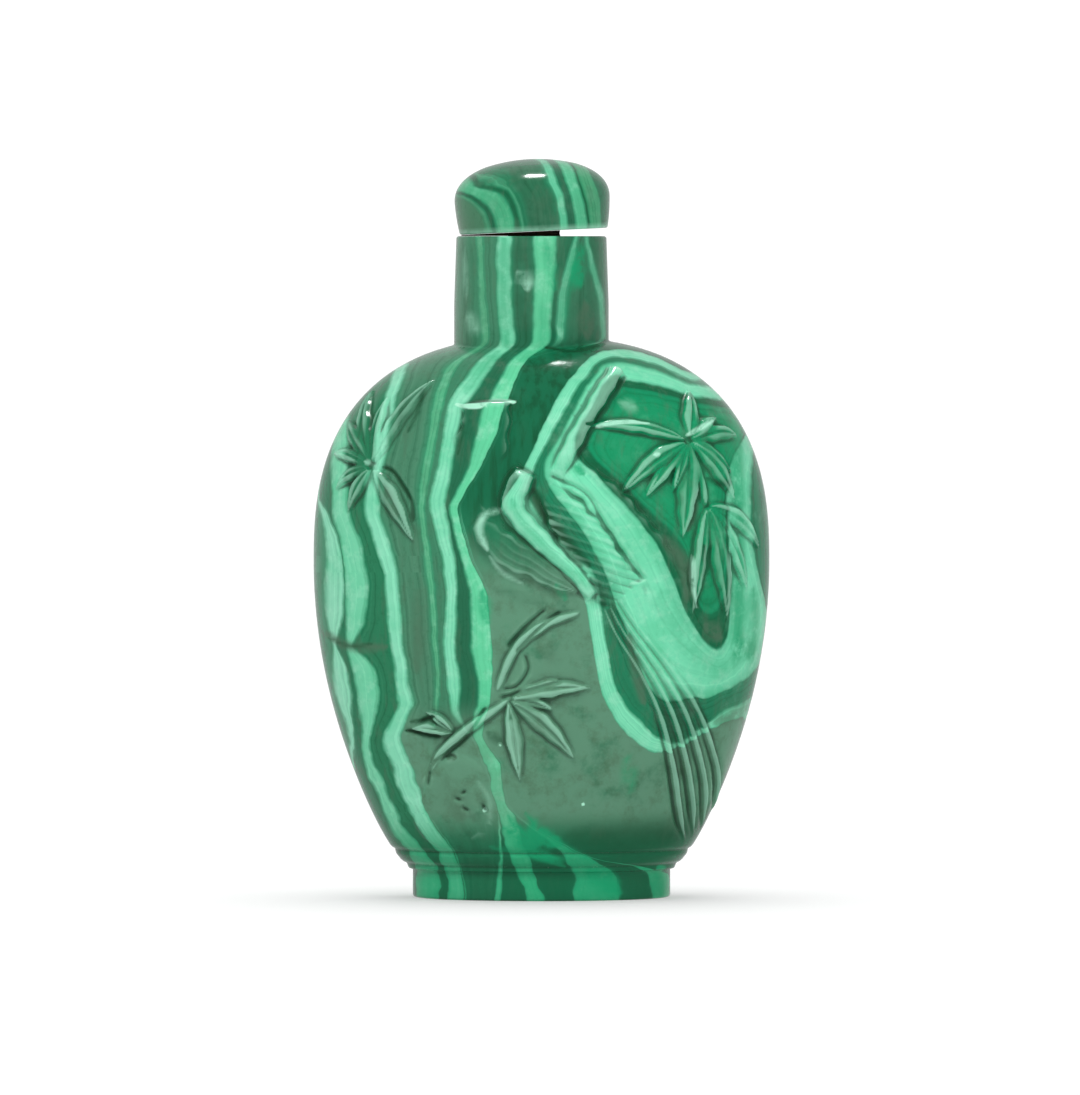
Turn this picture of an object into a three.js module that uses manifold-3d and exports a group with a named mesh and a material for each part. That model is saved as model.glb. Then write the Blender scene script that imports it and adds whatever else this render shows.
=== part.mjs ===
// A carved malachite snuff bottle: a flattened body on an oval foot, a round neck, a domed stopper on a cork.
// Millimetres, +Z up. The carved face looks along -Y, and the origin is under the middle of the foot.
import * as THREE from "three";
import { mergeVertices } from "three/addons/utils/BufferGeometryUtils.js";
import Module from "manifold-3d";

const wasm = await Module();
wasm.setup();

// Body: half sizes at the girth, and the heights that its outline runs between
const HALF_WIDTH = 20.35;
const HALF_DEPTH = 13;
const GIRTH_HEIGHT = 30;
const SHOULDER_TOP = 50;
const SHOULDER_POWER_ACROSS = 2.53; // 2 is an ellipse, and more is squarer
const SHOULDER_POWER_DEEP = 3;
const TAPER_ACROSS = 0.383; // share of the half width lost from the girth down to the foot
const TAPER_DEEP = 0.37;
const TUCK = 0.035; // the last turn under, just above the foot
const TUCK_POWER = 18;

// Foot, with a shallow recess under it, and the bead that runs round the body above it
const FOOT_HEIGHT = 2.6;
const FOOT_HALF_WIDTH = 11.5;
const FOOT_HALF_DEPTH = 7.5;
const FOOT_EDGE = 0.25;
const RECESS_SHARE = 0.72;
const RECESS_DEPTH = 0.8;
const BEAD_HEIGHT = 3.85;
const BEAD_HALF = 0.3;
const GROOVE_WIDTH = 0.3;
const GROOVE_DEPTH = 0.22;

// Neck, which stands a little left of the body's middle, and its bore
const NECK_OFFSET = -0.9;
const NECK_RADIUS = 6.9;
const RIM_RADIUS = 6.7;
const RIM_HEIGHT = 59;
const RIM_EDGE = 0.15;
const BORE_RADIUS = 3.3;

// Hollow: an oval chamber below the bore
const CHAMBER_FLOOR = 8;
const CHAMBER_TOP = 47;
const CHAMBER_HALF_WIDTH = 16.8;
const CHAMBER_HALF_DEPTH = 9.6;
const CHAMBER_POWER = 2.3;

// Stopper: a cap that sits tilted on the rim, and a cork under it
const CAP_BASE_RADIUS = 6.62;
const CAP_RADIUS = 6.93;
const CAP_HEIGHT = 6.45;
const CAP_WAIST_HEIGHT = 2.9;
const CAP_CROWN_HEIGHT = 5.9;
const CAP_CROWN_RADIUS = 4;
const CAP_LIFT = 0.35;
const CAP_TILT = -1.7; // degrees about Y, right side up
const CORK_PEG_RADIUS = 2.35;
const CORK_PEG_LENGTH = 0.75;
const CORK_RADIUS = 3;
const CORK_END_RADIUS = 2.75;
const CORK_LENGTH = 7;
const CORK_CHAMFER = 0.4;

// Relief: how far carving stands off the body, and how deep its root is sunk
const SINK = 0.3;
const LEAF_HEIGHT = 0.55;
const LEAF_WIDTH_SHARE = 0.105; // half width over length
const LEAF_WIDTH_LEAST = 0.28;
const LEAF_GAP = 0.5;
const LEAF_DROOP = 0.05;
const LEAF_STATIONS = 5;
const FEATHER_STATIONS = 7;

const BODY_SIDES = 52;
const NECK_SIDES = 40;
const CHAMBER_SIDES = 28;
const BORE_SIDES = 24;
const LOWEST_RING = 6.5;
const HIGHEST_RING = 41;
const RING_STEP = 3.1;

const MALACHITE = { color: 0x4f9f78, roughness: 0.28, metalness: 0 };
const CORK = { color: 0x3a2a1c, roughness: 0.9, metalness: 0 };

// Body outline

// The share of the girth left at a height: a superellipse above the girth, and a tapering curve below it.
function outlineShare(z, power, taper) {
  if (z >= GIRTH_HEIGHT) {
    const up = Math.min((z - GIRTH_HEIGHT) / (SHOULDER_TOP - GIRTH_HEIGHT), 1);
    return (1 - up ** power) ** (1 / power);
  }
  const down = (GIRTH_HEIGHT - z) / (GIRTH_HEIGHT - FOOT_HEIGHT);
  return 1 - taper * down ** 2 - TUCK * down ** TUCK_POWER;
}

const halfWidth = (z) => HALF_WIDTH * outlineShare(z, SHOULDER_POWER_ACROSS, TAPER_ACROSS);
const halfDepth = (z) => HALF_DEPTH * outlineShare(z, SHOULDER_POWER_DEEP, TAPER_DEEP);

// A point of the front (side 1) or back (side -1), x across and z up, carried onto the body.
function onBody([x, z], side = 1) {
  const across = THREE.MathUtils.clamp(x / halfWidth(z), -0.998, 0.998);
  return new THREE.Vector3(x, -side * halfDepth(z) * Math.sqrt(1 - across ** 2), z);
}

// Moves a point level, in or out, onto the body.
function snap(point) {
  const scale = Math.hypot(point.x / halfWidth(point.z), point.y / halfDepth(point.z));
  return new THREE.Vector3(point.x / scale, point.y / scale, point.z);
}

// The body's outward normal, from the slope of its implicit oval.
function normalAt(point) {
  const step = 0.001;
  const oval = (p) => (p.x / halfWidth(p.z)) ** 2 + (p.y / halfDepth(p.z)) ** 2;
  const slope = (axis) => {
    const ahead = point.clone();
    const behind = point.clone();
    ahead[axis] += step;
    behind[axis] -= step;
    return oval(ahead) - oval(behind);
  };
  return new THREE.Vector3(slope("x"), slope("y"), slope("z")).normalize();
}

// Solids

function toManifold(geometry) {
  const bare = geometry.clone();
  bare.deleteAttribute("normal");
  bare.deleteAttribute("uv");
  const merged = mergeVertices(bare, 1e-4);
  const corners = Array.from(merged.index.array);
  const triVerts = [];
  for (let i = 0; i < corners.length; i += 3) {
    const [a, b, c] = corners.slice(i, i + 3);
    if (a !== b && b !== c && a !== c) triVerts.push(a, b, c);
  }
  const vertProperties = merged.attributes.position.array;
  return new wasm.Manifold(
    new wasm.Mesh({ numProp: 3, vertProperties, triVerts: new Uint32Array(triVerts) }),
  );
}

function toGeometry(solid) {
  const { vertProperties, triVerts } = solid.getMesh();
  const geometry = new THREE.BufferGeometry();
  geometry.setAttribute("position", new THREE.BufferAttribute(vertProperties, 3));
  geometry.setIndex(new THREE.BufferAttribute(triVerts, 1));
  return geometry;
}

// A turned solid about +Z. The profile holds [radius, height] pairs, and starts and ends on the axis.
function turned(profile, sides) {
  const points = profile.map(([radius, height]) => new THREE.Vector2(radius, height));
  return new THREE.LatheGeometry(points, sides).rotateX(Math.PI / 2);
}

// A turned solid pressed to an oval: depthAt gives the half depth over the half width at a height.
function ovalTurned(profile, sides, depthAt) {
  const geometry = turned(profile, sides);
  const place = geometry.attributes.position;
  for (let i = 0; i < place.count; i++) {
    place.setY(i, place.getY(i) * depthAt(place.getZ(i)));
  }
  return geometry;
}

function bodySolid() {
  const heights = [FOOT_HEIGHT];
  const beadLow = BEAD_HEIGHT - BEAD_HALF;
  const beadHigh = BEAD_HEIGHT + BEAD_HALF;
  heights.push(beadLow - 2 * GROOVE_WIDTH, beadLow - GROOVE_WIDTH, beadLow);
  heights.push(beadHigh, beadHigh + GROOVE_WIDTH, beadHigh + 2 * GROOVE_WIDTH);
  for (let z = LOWEST_RING; z < HIGHEST_RING; z += RING_STEP) heights.push(z);
  for (const share of [0.35, 0.58, 0.75, 0.87, 0.95, 0.99]) {
    heights.push(HIGHEST_RING + (SHOULDER_TOP - HIGHEST_RING) * share);
  }
  const grooves = [beadLow - GROOVE_WIDTH, beadHigh + GROOVE_WIDTH];
  const profile = heights.map((z) => [halfWidth(z) - (grooves.includes(z) ? GROOVE_DEPTH : 0), z]);
  const closed = [[0, FOOT_HEIGHT], ...profile, [0, SHOULDER_TOP]];
  const depthAt = (z) => (z < SHOULDER_TOP ? halfDepth(z) / halfWidth(z) : 1);
  return toManifold(ovalTurned(closed, BODY_SIDES, depthAt));
}

function footSolid() {
  const rise = 0.4; // runs up inside the body
  const profile = [
    [0, 0],
    [FOOT_HALF_WIDTH - FOOT_EDGE, 0],
    [FOOT_HALF_WIDTH, FOOT_EDGE],
    [FOOT_HALF_WIDTH, FOOT_HEIGHT + rise],
    [0, FOOT_HEIGHT + rise],
  ];
  return toManifold(ovalTurned(profile, BODY_SIDES, () => FOOT_HALF_DEPTH / FOOT_HALF_WIDTH));
}

function recessSolid() {
  const below = 1;
  const profile = [
    [0, -below],
    [FOOT_HALF_WIDTH * RECESS_SHARE, -below],
    [FOOT_HALF_WIDTH * RECESS_SHARE, 0],
    [FOOT_HALF_WIDTH * RECESS_SHARE - RECESS_DEPTH, RECESS_DEPTH],
    [0, RECESS_DEPTH],
  ];
  return toManifold(ovalTurned(profile, BODY_SIDES, () => FOOT_HALF_DEPTH / FOOT_HALF_WIDTH));
}

function neckSolid() {
  const root = CHAMBER_TOP - 1; // inside the shoulders
  const profile = [
    [0, root],
    [NECK_RADIUS, root],
    [NECK_RADIUS, RIM_HEIGHT - 6],
    [RIM_RADIUS, RIM_HEIGHT - RIM_EDGE],
    [RIM_RADIUS - RIM_EDGE, RIM_HEIGHT],
    [0, RIM_HEIGHT],
  ];
  return toManifold(turned(profile, NECK_SIDES).translate(NECK_OFFSET, 0, 0));
}

function chamberSolid() {
  const middle = (CHAMBER_FLOOR + CHAMBER_TOP) / 2;
  const reach = (CHAMBER_TOP - CHAMBER_FLOOR) / 2;
  const rows = 12;
  const profile = [];
  for (let i = 0; i <= rows; i++) {
    const z = -Math.cos((Math.PI * i) / rows);
    const share = Math.max(1 - Math.abs(z) ** CHAMBER_POWER, 0) ** (1 / CHAMBER_POWER);
    profile.push([CHAMBER_HALF_WIDTH * share, middle + reach * z]);
  }
  const pressed = CHAMBER_HALF_DEPTH / CHAMBER_HALF_WIDTH;
  return toManifold(ovalTurned(profile, CHAMBER_SIDES, () => pressed));
}

function boreSolid() {
  const low = CHAMBER_TOP - 4;
  const high = RIM_HEIGHT + 1;
  const profile = [
    [0, low],
    [BORE_RADIUS, low],
    [BORE_RADIUS, high],
    [0, high],
  ];
  return toManifold(turned(profile, BORE_SIDES).translate(NECK_OFFSET, 0, 0));
}

// Carving. Every carved form is a stroke: a section swept along a path on the body, pointed at both ends.

const ROOF = [[-1, 0], [0, 1], [1, 0]];
const ROUND = [[-1, 0], [-0.75, 0.66], [0, 1], [0.75, 0.66], [1, 0]];
const PLATE = [[-1, 0], [-0.85, 1], [0.85, 1], [1, 0]];

// path holds points on the body; widthAt and heightAt take the share of the length, from 0 to 1.
function stroke(path, section, widthAt, heightAt, stations) {
  const curve = new THREE.CatmullRomCurve3(path);
  const tip = (share) => {
    const point = snap(curve.getPointAt(share));
    return point.addScaledVector(normalAt(point), -SINK);
  };
  const vertices = [tip(0)];
  for (let i = 1; i < stations; i++) {
    const share = i / stations;
    const centre = snap(curve.getPointAt(share));
    const out = normalAt(centre);
    const aside = new THREE.Vector3().crossVectors(out, curve.getTangentAt(share)).normalize();
    for (const [across, up] of section) {
      const foot = snap(centre.clone().addScaledVector(aside, across * widthAt(share)));
      const rise = up * (heightAt(share) + SINK) - SINK;
      vertices.push(foot.addScaledVector(normalAt(foot), rise));
    }
  }
  vertices.push(tip(1));
  const size = section.length;
  const last = vertices.length - 1;
  const ring = (i, k) => 1 + (i - 1) * size + (k % size);
  const index = [];
  for (let k = 0; k < size; k++) {
    index.push(0, ring(1, k), ring(1, k + 1));
    for (let i = 1; i < stations - 1; i++) {
      index.push(ring(i, k), ring(i + 1, k), ring(i, k + 1));
      index.push(ring(i, k + 1), ring(i + 1, k), ring(i + 1, k + 1));
    }
    index.push(last, ring(stations - 1, k + 1), ring(stations - 1, k));
  }
  const geometry = new THREE.BufferGeometry().setFromPoints(vertices);
  geometry.setIndex(index);
  const solid = toManifold(geometry);
  if (solid.volume() > 0) return solid;
  geometry.setIndex(index.reverse());
  return toManifold(geometry);
}

const swell = (share, peak = 0.5) => Math.sin(Math.PI * share ** (Math.log(0.5) / Math.log(peak)));

// One bamboo leaf from a node of the spray, at an angle on the surface: 0 is to the right and 90 is up.
function leaf(node, angle, length) {
  const out = normalAt(node);
  const east = new THREE.Vector3(0, 0, 1).cross(out).normalize();
  const north = new THREE.Vector3().crossVectors(out, east);
  const turn = THREE.MathUtils.degToRad(angle);
  const along = east.multiplyScalar(Math.cos(turn)).addScaledVector(north, Math.sin(turn));
  const at = (share) => {
    const point = node.clone().addScaledVector(along, LEAF_GAP + share * (length - LEAF_GAP));
    point.z += LEAF_DROOP * length * swell(share);
    return snap(point);
  };
  const half = LEAF_WIDTH_LEAST + LEAF_WIDTH_SHARE * length;
  const widthAt = (share) => half * swell(share, 0.42);
  const heightAt = (share) => LEAF_HEIGHT * swell(share) ** 0.4;
  return stroke([at(0), at(0.5), at(1)], ROOF, widthAt, heightAt, LEAF_STATIONS);
}

// Sprays of leaves: a node on the face or the back, and each leaf's angle and length.
const SPRAYS = [
  {
    node: [-15.1, 38.5],
    fan: [[66, 8.5], [99, 6.3], [130, 8.8], [150, 8], [172, 7], [-156, 5.3], [-122, 5], [-57, 8.1]],
  },
  {
    node: [13.1, 40.8],
    fan: [[171, 9.7], [-147, 8.6], [-131, 7], [-112, 5], [-92, 8.6], [-47, 7.7], [-34, 6], [14, 8], [40, 6]],
  },
  { node: [14.7, 35.1], fan: [[-96, 9.9], [-74, 10.7], [-54, 9.6], [-27, 9]] },
  { node: [-3, 17.7], fan: [[7, 7.8], [-14, 4.2], [-42, 8.1], [-83, 7.5]] },
  { node: [-7.6, 14.6], fan: [[176, 4.6], [146, 3.4]] },
  { node: [-4, 34], fan: [[150, 8], [188, 7], [-140, 8.5], [-100, 9], [-58, 7.5]], side: -1 },
  { node: [5, 22], fan: [[40, 7], [8, 8], [-28, 8], [-70, 6.5], [-125, 7]], side: -1 },
];

// Stems, branches and rocks: a path, half width, height and section.
const TWIG = { half: 0.55, height: 0.5, section: ROUND };
const STALK = { half: 0.8, height: 0.75, section: ROUND };
const TRUNK = { half: 2.1, height: 0.9, section: ROUND };
const STUB = { half: 2.3, height: 0.6, section: PLATE };
const ROCK = { half: 3, height: 0.45, section: ROUND };
const STEMS = [
  { path: [[6.5, 47.1], [4, 44], [2.4, 41], [0.6, 37.7]], ...STALK },
  { path: [[1.2, 38.6], [5.2, 35.4], [9.6, 29.8], [13.2, 23.6], [15.6, 18.6]], ...TRUNK },
  { path: [[4.6, 26.2], [0.4, 24.6], [-2, 21.4], [-2.9, 17.4]], ...TWIG },
  { path: [[-2.6, 17.8], [-6, 15.2], [-8.8, 12.9], [-10.3, 10]], ...TWIG },
  { path: [[13.5, 46.6], [13.3, 43.6], [13.2, 40.4]], ...TWIG },
  { path: [[13.1, 41], [14, 38], [14.7, 34.6]], ...TWIG },
  { path: [[-5.2, 44.6], [-6.4, 41], [-7.8, 36.6]], ...STUB },
  { path: [[-10, 4.9], [-8.4, 9], [-6.2, 13]], ...ROCK },
  { path: [[-8, 40], [-4, 34], [1, 27], [5, 22], [8, 12]], ...TWIG, side: -1 },
];

function stem({ path, half, height, section, side }) {
  const points = path.map((spot) => onBody(spot, side));
  const blunt = (share) => swell(share) ** 0.35;
  return stroke(points, section, (s) => half * blunt(s), (s) => height * blunt(s), FEATHER_STATIONS);
}

// The bird, seen from behind: each group of feathers fans from its first path to its last.
const LEFT_WING = {
  from: [[-3.6, 34.3], [-5.4, 32], [-2.2, 28.8], [4.6, 26.2]],
  to: [[-2.6, 34.6], [-1.8, 32], [1.4, 29.4], [5, 26.6]],
  count: 3,
  half: 1.05,
  height: 1.05,
};
const RIGHT_WING = {
  from: [[-1, 35], [2.4, 31], [6, 26.8]],
  to: [[0.6, 37.7], [5.2, 34.2], [9.4, 27.6]],
  count: 4,
  half: 0.95,
  height: 1.15,
};
const TAIL = {
  from: [[4.9, 26.8], [8.8, 21.6], [10.9, 16.2], [12, 10.9], [12.8, 5.2]],
  to: [[9, 27.4], [13.3, 19.4], [14.8, 14.9], [15.7, 11.6], [15.2, 7]],
  count: 5,
  half: 0.62,
  height: 0.8,
};
const BIRD_BACK = { path: [[-2.6, 34.8], [1, 31], [5.4, 26]], half: 1.7, height: 1.05, section: ROUND };
const BIRD_HEAD = { path: [[-1, 38.4], [-2, 36.4], [-2.9, 34]], half: 1.15, height: 1.2, section: ROUND };

function feathers({ from, to, count, half, height }) {
  const made = [];
  for (let i = 0; i < count; i++) {
    const share = i / (count - 1);
    const between = ([x, z], k) => [x + (to[k][0] - x) * share, z + (to[k][1] - z) * share];
    const path = from.map((spot, k) => onBody(between(spot, k)));
    const widthAt = (s) => half * swell(s) ** 0.45;
    const heightAt = (s) => height * swell(s) ** 0.5;
    made.push(stroke(path, ROOF, widthAt, heightAt, FEATHER_STATIONS));
  }
  return made;
}

function carving() {
  const leaves = SPRAYS.flatMap(({ node, fan, side }) =>
    fan.map(([angle, length]) => leaf(onBody(node, side), angle, length)),
  );
  const bird = [stem(BIRD_BACK), stem(BIRD_HEAD), ...[LEFT_WING, RIGHT_WING, TAIL].flatMap(feathers)];
  return [...STEMS.map(stem), ...leaves, ...bird];
}

function bottleMesh() {
  const whole = wasm.Manifold.union([bodySolid(), footSolid(), neckSolid(), ...carving()]);
  const hollow = whole.subtract(chamberSolid().add(boreSolid())).subtract(recessSolid());
  const mesh = new THREE.Mesh(toGeometry(hollow), new THREE.MeshStandardMaterial(MALACHITE));
  mesh.name = "bottle";
  return mesh;
}

// Stopper, in its own frame: the cap's underside is at zero, and the cork hangs below.

function capMesh() {
  const profile = [
    [0, 0],
    [CAP_BASE_RADIUS, 0],
    [CAP_RADIUS, CAP_WAIST_HEIGHT],
  ];
  const shoulder = new THREE.CubicBezierCurve(
    new THREE.Vector2(CAP_RADIUS, CAP_WAIST_HEIGHT),
    new THREE.Vector2(CAP_RADIUS, CAP_WAIST_HEIGHT + 1.6),
    new THREE.Vector2(CAP_CROWN_RADIUS + 1.5, CAP_CROWN_HEIGHT - 0.5),
    new THREE.Vector2(CAP_CROWN_RADIUS, CAP_CROWN_HEIGHT),
  );
  const crown = new THREE.QuadraticBezierCurve(
    new THREE.Vector2(CAP_CROWN_RADIUS, CAP_CROWN_HEIGHT),
    new THREE.Vector2(CAP_CROWN_RADIUS / 2, CAP_HEIGHT),
    new THREE.Vector2(0, CAP_HEIGHT),
  );
  for (const point of [...shoulder.getPoints(5).slice(1), ...crown.getPoints(3).slice(1)]) {
    profile.push([point.x, point.y]);
  }
  const mesh = new THREE.Mesh(turned(profile, NECK_SIDES), new THREE.MeshStandardMaterial(MALACHITE));
  mesh.name = "stopper_cap";
  return mesh;
}

function corkMesh() {
  const profile = [
    [0, -CORK_LENGTH],
    [CORK_END_RADIUS - CORK_CHAMFER, -CORK_LENGTH],
    [CORK_END_RADIUS, CORK_CHAMFER - CORK_LENGTH],
    [CORK_RADIUS, -CORK_PEG_LENGTH - CORK_CHAMFER],
    [CORK_PEG_RADIUS, -CORK_PEG_LENGTH],
    [CORK_PEG_RADIUS, 0],
    [0, 0],
  ];
  const mesh = new THREE.Mesh(turned(profile, BORE_SIDES), new THREE.MeshStandardMaterial(CORK));
  mesh.name = "stopper_cork";
  return mesh;
}

function stopper() {
  const group = new THREE.Group();
  group.position.set(NECK_OFFSET, 0, RIM_HEIGHT + CAP_LIFT);
  group.rotation.y = THREE.MathUtils.degToRad(CAP_TILT);
  group.add(capMesh(), corkMesh());
  return group;
}

const snuffBottle = new THREE.Group();
snuffBottle.add(bottleMesh(), stopper());

export default snuffBottle;
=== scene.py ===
# %% [markdown]
# # A carved malachite snuff bottle
# The object is a small flattened bottle cut from one block of banded malachite, with a bird and bamboo in
# low relief, and a domed stopper on a cork. This lesson dresses its three solid pieces: it makes each one
# again as a fine mesh in the same place, and gives it a stone or cork finish made of shader nodes.

# %% Load the frame
import math

import bpy
import numpy as np
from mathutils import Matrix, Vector


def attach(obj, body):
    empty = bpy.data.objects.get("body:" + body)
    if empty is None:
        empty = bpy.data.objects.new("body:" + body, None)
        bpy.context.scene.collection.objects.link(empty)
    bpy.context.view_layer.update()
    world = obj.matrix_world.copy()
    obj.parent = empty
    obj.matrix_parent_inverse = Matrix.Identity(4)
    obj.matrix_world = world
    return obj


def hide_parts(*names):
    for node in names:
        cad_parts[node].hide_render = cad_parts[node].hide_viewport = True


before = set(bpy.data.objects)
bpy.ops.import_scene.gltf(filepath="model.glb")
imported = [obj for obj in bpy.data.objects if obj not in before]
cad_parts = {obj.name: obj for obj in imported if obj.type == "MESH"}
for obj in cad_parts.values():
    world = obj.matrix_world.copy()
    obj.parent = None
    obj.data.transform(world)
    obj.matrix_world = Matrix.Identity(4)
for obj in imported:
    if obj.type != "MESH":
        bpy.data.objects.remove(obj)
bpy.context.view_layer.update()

MM = 0.001
print("solids:", sorted(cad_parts))

# %% [markdown]
# ## Reading the photograph
# The bottle is seen almost level, from far away, so a pixel is very nearly a fixed size on the bottle. A
# pixel can then be turned into millimetres with one scale, the bottle's middle line and the line it
# stands on.

# %% Pixels to millimetres
IMAGE_WIDTH = 1080
IMAGE_HEIGHT = 1095
PIXELS_PER_MM = 11.2
MIDDLE_PIXEL = 541.5
FLOOR_PIXEL = 897
TOP_PIXEL = 158


def spot(pixel_x, pixel_y):
    """Millimetres across and up, on the upright plane through the bottle's middle."""
    return (pixel_x - MIDDLE_PIXEL) / PIXELS_PER_MM, (FLOOR_PIXEL - pixel_y) / PIXELS_PER_MM


def spots(*pixels):
    return np.array([spot(*pixel) for pixel in pixels])


print("bottle's height in the picture, mm:", round(spot(0, TOP_PIXEL)[1], 1))

# %% [markdown]
# ## Camera
# The rim of the neck is seen as a straight line, so the eye is level with it, and the foot's front edge
# sags only a little, so the eye is about a metre away. The lens then follows from the size of the picture
# on the bottle. Parts of the body that stand nearer the eye are seen a little larger, so there is a
# helper for where a point of the body is seen.

# %% Camera
EYE_DISTANCE = 1.05
EYE_HEIGHT = 0.059
SENSOR_HEIGHT = 24


def add_camera():
    across, up = spot(IMAGE_WIDTH / 2, IMAGE_HEIGHT / 2)
    target = Vector((across * MM, 0, up * MM))
    data = bpy.data.cameras.new("camera")
    camera = bpy.data.objects.new("camera", data)
    bpy.context.collection.objects.link(camera)
    camera.location = (target.x, -EYE_DISTANCE, EYE_HEIGHT)
    gaze = target - camera.location
    camera.rotation_euler = gaze.to_track_quat("-Z", "Y").to_euler()
    seen_height = IMAGE_HEIGHT / PIXELS_PER_MM * MM
    data.sensor_fit = "VERTICAL"
    data.sensor_height = SENSOR_HEIGHT
    data.lens = SENSOR_HEIGHT * gaze.length / seen_height
    bpy.context.scene.camera = camera
    return camera


def nearness(y):
    """Distance from the eye, as a share of its distance from the bottle's middle."""
    return 1 + y * MM / EYE_DISTANCE


def seen(points):
    """Where points are seen, across and up, on the upright plane through the bottle's middle."""
    eye = np.array([camera.location.x, camera.location.z]) / MM
    return eye + (points[..., [0, 2]] - eye) / nearness(points[..., 1:2])


camera = add_camera()
print("lens, mm:", round(camera.data.lens, 1))

# %% [markdown]
# ## Body
# The real body is cut and ground freehand from one block: an oval in every level section, squarer at the
# shoulders and tapering to the foot. It could be modelled by hand from a cylinder, but its outline is
# plain enough to be a formula, and a formula can be sampled as finely as the carving needs.

# %% Sizes of the bottle, in millimetres
HALF_WIDTH = 20.35
HALF_DEPTH = 13
GIRTH_HEIGHT = 30
SHOULDER_TOP = 50
SHOULDER_POWER_ACROSS = 2.53
SHOULDER_POWER_DEEP = 3
TAPER_ACROSS = 0.383
TAPER_DEEP = 0.37
TUCK = 0.035
TUCK_POWER = 18
FOOT_HEIGHT = 2.6
FOOT_HALF_WIDTH = 11.5
FOOT_HALF_DEPTH = 7.5
FOOT_EDGE = 0.25
FOOT_LIP = 0.1
RECESS_HALF_WIDTH = 0.72 * FOOT_HALF_WIDTH
RECESS_DEPTH = 0.8
NECK_OFFSET = -0.9
NECK_RADIUS = 6.9
NECK_TAPER = 6
NECK_ROOT = (44, 46)
NECK_LEAN = (40, 48.9)
RIM_RADIUS = 6.7
RIM_HEIGHT = 59
RIM_EDGE = 0.15
BORE_RADIUS = 3.3
BORE_ROOT = (43, 45)
CHAMBER_FLOOR = 8
CHAMBER_TOP = 47
CHAMBER_HALF_WIDTH = 16.8
CHAMBER_HALF_DEPTH = 9.6
CHAMBER_POWER = 2.3


def outline_share(z, power, taper):
    """Share of the girth left at a height."""
    up = np.clip((z - GIRTH_HEIGHT) / (SHOULDER_TOP - GIRTH_HEIGHT), 0, 1)
    down = np.clip((GIRTH_HEIGHT - z) / (GIRTH_HEIGHT - FOOT_HEIGHT), 0, None)
    above = (1 - up**power) ** (1 / power)
    below = 1 - taper * down**2 - TUCK * down**TUCK_POWER
    return np.where(z >= GIRTH_HEIGHT, above, below)


def half_width(z):
    return HALF_WIDTH * outline_share(z, SHOULDER_POWER_ACROSS, TAPER_ACROSS)


def half_depth(z):
    return HALF_DEPTH * outline_share(z, SHOULDER_POWER_DEEP, TAPER_DEEP)


def chamber_share(z):
    middle = (CHAMBER_TOP + CHAMBER_FLOOR) / 2
    reach = (CHAMBER_TOP - CHAMBER_FLOOR) / 2
    away = np.clip(np.abs(z - middle) / reach, 0, 1)
    return (1 - away**CHAMBER_POWER) ** (1 / CHAMBER_POWER)


def neck_radius(z):
    return np.interp(z, [RIM_HEIGHT - NECK_TAPER, RIM_HEIGHT - RIM_EDGE], [NECK_RADIUS, RIM_RADIUS])


print("body at the foot, mm:", half_width(FOOT_HEIGHT).round(2), half_depth(FOOT_HEIGHT).round(2))

# %% [markdown]
# ## A fine sheet of points
# The bottle's whole skin, outside and in, is one sheet: columns run round it, and rows run from the
# middle of the underside, up the foot, body and neck, over the rim, and down inside to the chamber's
# floor. Level sections of the body and the round neck are joined by taking the further of the two,
# softly, so the junction has a small fillet.

# %% Rows and columns
COLUMNS = 768
COLUMN_CROWDING = 0.15
BLOCK = 8
FILLET = 0.35
BODY_ROWS = 488
INSIDE_ROWS = 120
EDGE_ROWS = 8
FOOT_WALL_ROWS = 24
PROFILE_SAMPLES = 20001

around = np.linspace(0, 2 * np.pi, COLUMNS, endpoint=False)
around = around - COLUMN_CROWDING * np.sin(2 * around)


def smooth_step(low, high, value):
    share = np.clip((value - low) / (high - low), 0, 1)
    return share * share * (3 - 2 * share)


def soft_max(one, other, blend):
    close = np.maximum(1 - np.abs(one - other) / blend, 0)
    return np.maximum(one, other) + blend * close**2 / 4


def ovals(half_widths, half_depths, heights, middle=0.0):
    """Rows of points on ovals, one for each height."""
    x = middle + np.outer(half_widths, np.sin(around))
    y = -np.outer(half_depths, np.cos(around))
    z = np.outer(heights, np.ones(COLUMNS))
    return np.stack([x, y, z], axis=2)


def reach(centre, across, deep, half_wide, half_deep):
    """How far an oval lies from a point on its long axis, in a direction; nought from outside it."""
    slope = (across / half_wide) ** 2 + (deep / half_deep) ** 2
    lean = centre * across / half_wide**2
    inside = np.maximum(lean**2 - slope * ((centre / half_wide) ** 2 - 1), 0)
    return np.where((centre / half_wide) ** 2 < 1, (np.sqrt(inside) - lean) / slope, 0)


def level_sections(heights, wide, deep, round_radius):
    """Rows of a wide oval form joined to a round one that stands on the neck's axis."""
    z = heights[:, None]
    lean = smooth_step(*NECK_LEAN, z)
    squash = HALF_DEPTH / HALF_WIDTH * (1 - lean) + lean
    direction = np.stack([np.sin(around) * np.ones_like(z), -squash * np.cos(around)], axis=2)
    direction /= np.linalg.norm(direction, axis=2, keepdims=True)
    centre = NECK_OFFSET * lean
    tiny = 1e-3
    a = np.maximum(wide, tiny)[:, None]
    b = np.maximum(deep, tiny)[:, None]
    oval = reach(centre, direction[..., 0], direction[..., 1], a, b)
    out = soft_max(oval, round_radius[:, None] * np.ones_like(oval), FILLET)
    x = centre + direction[..., 0] * out
    y = direction[..., 1] * out
    return np.stack([x, y, z * np.ones_like(x)], axis=2)


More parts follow.
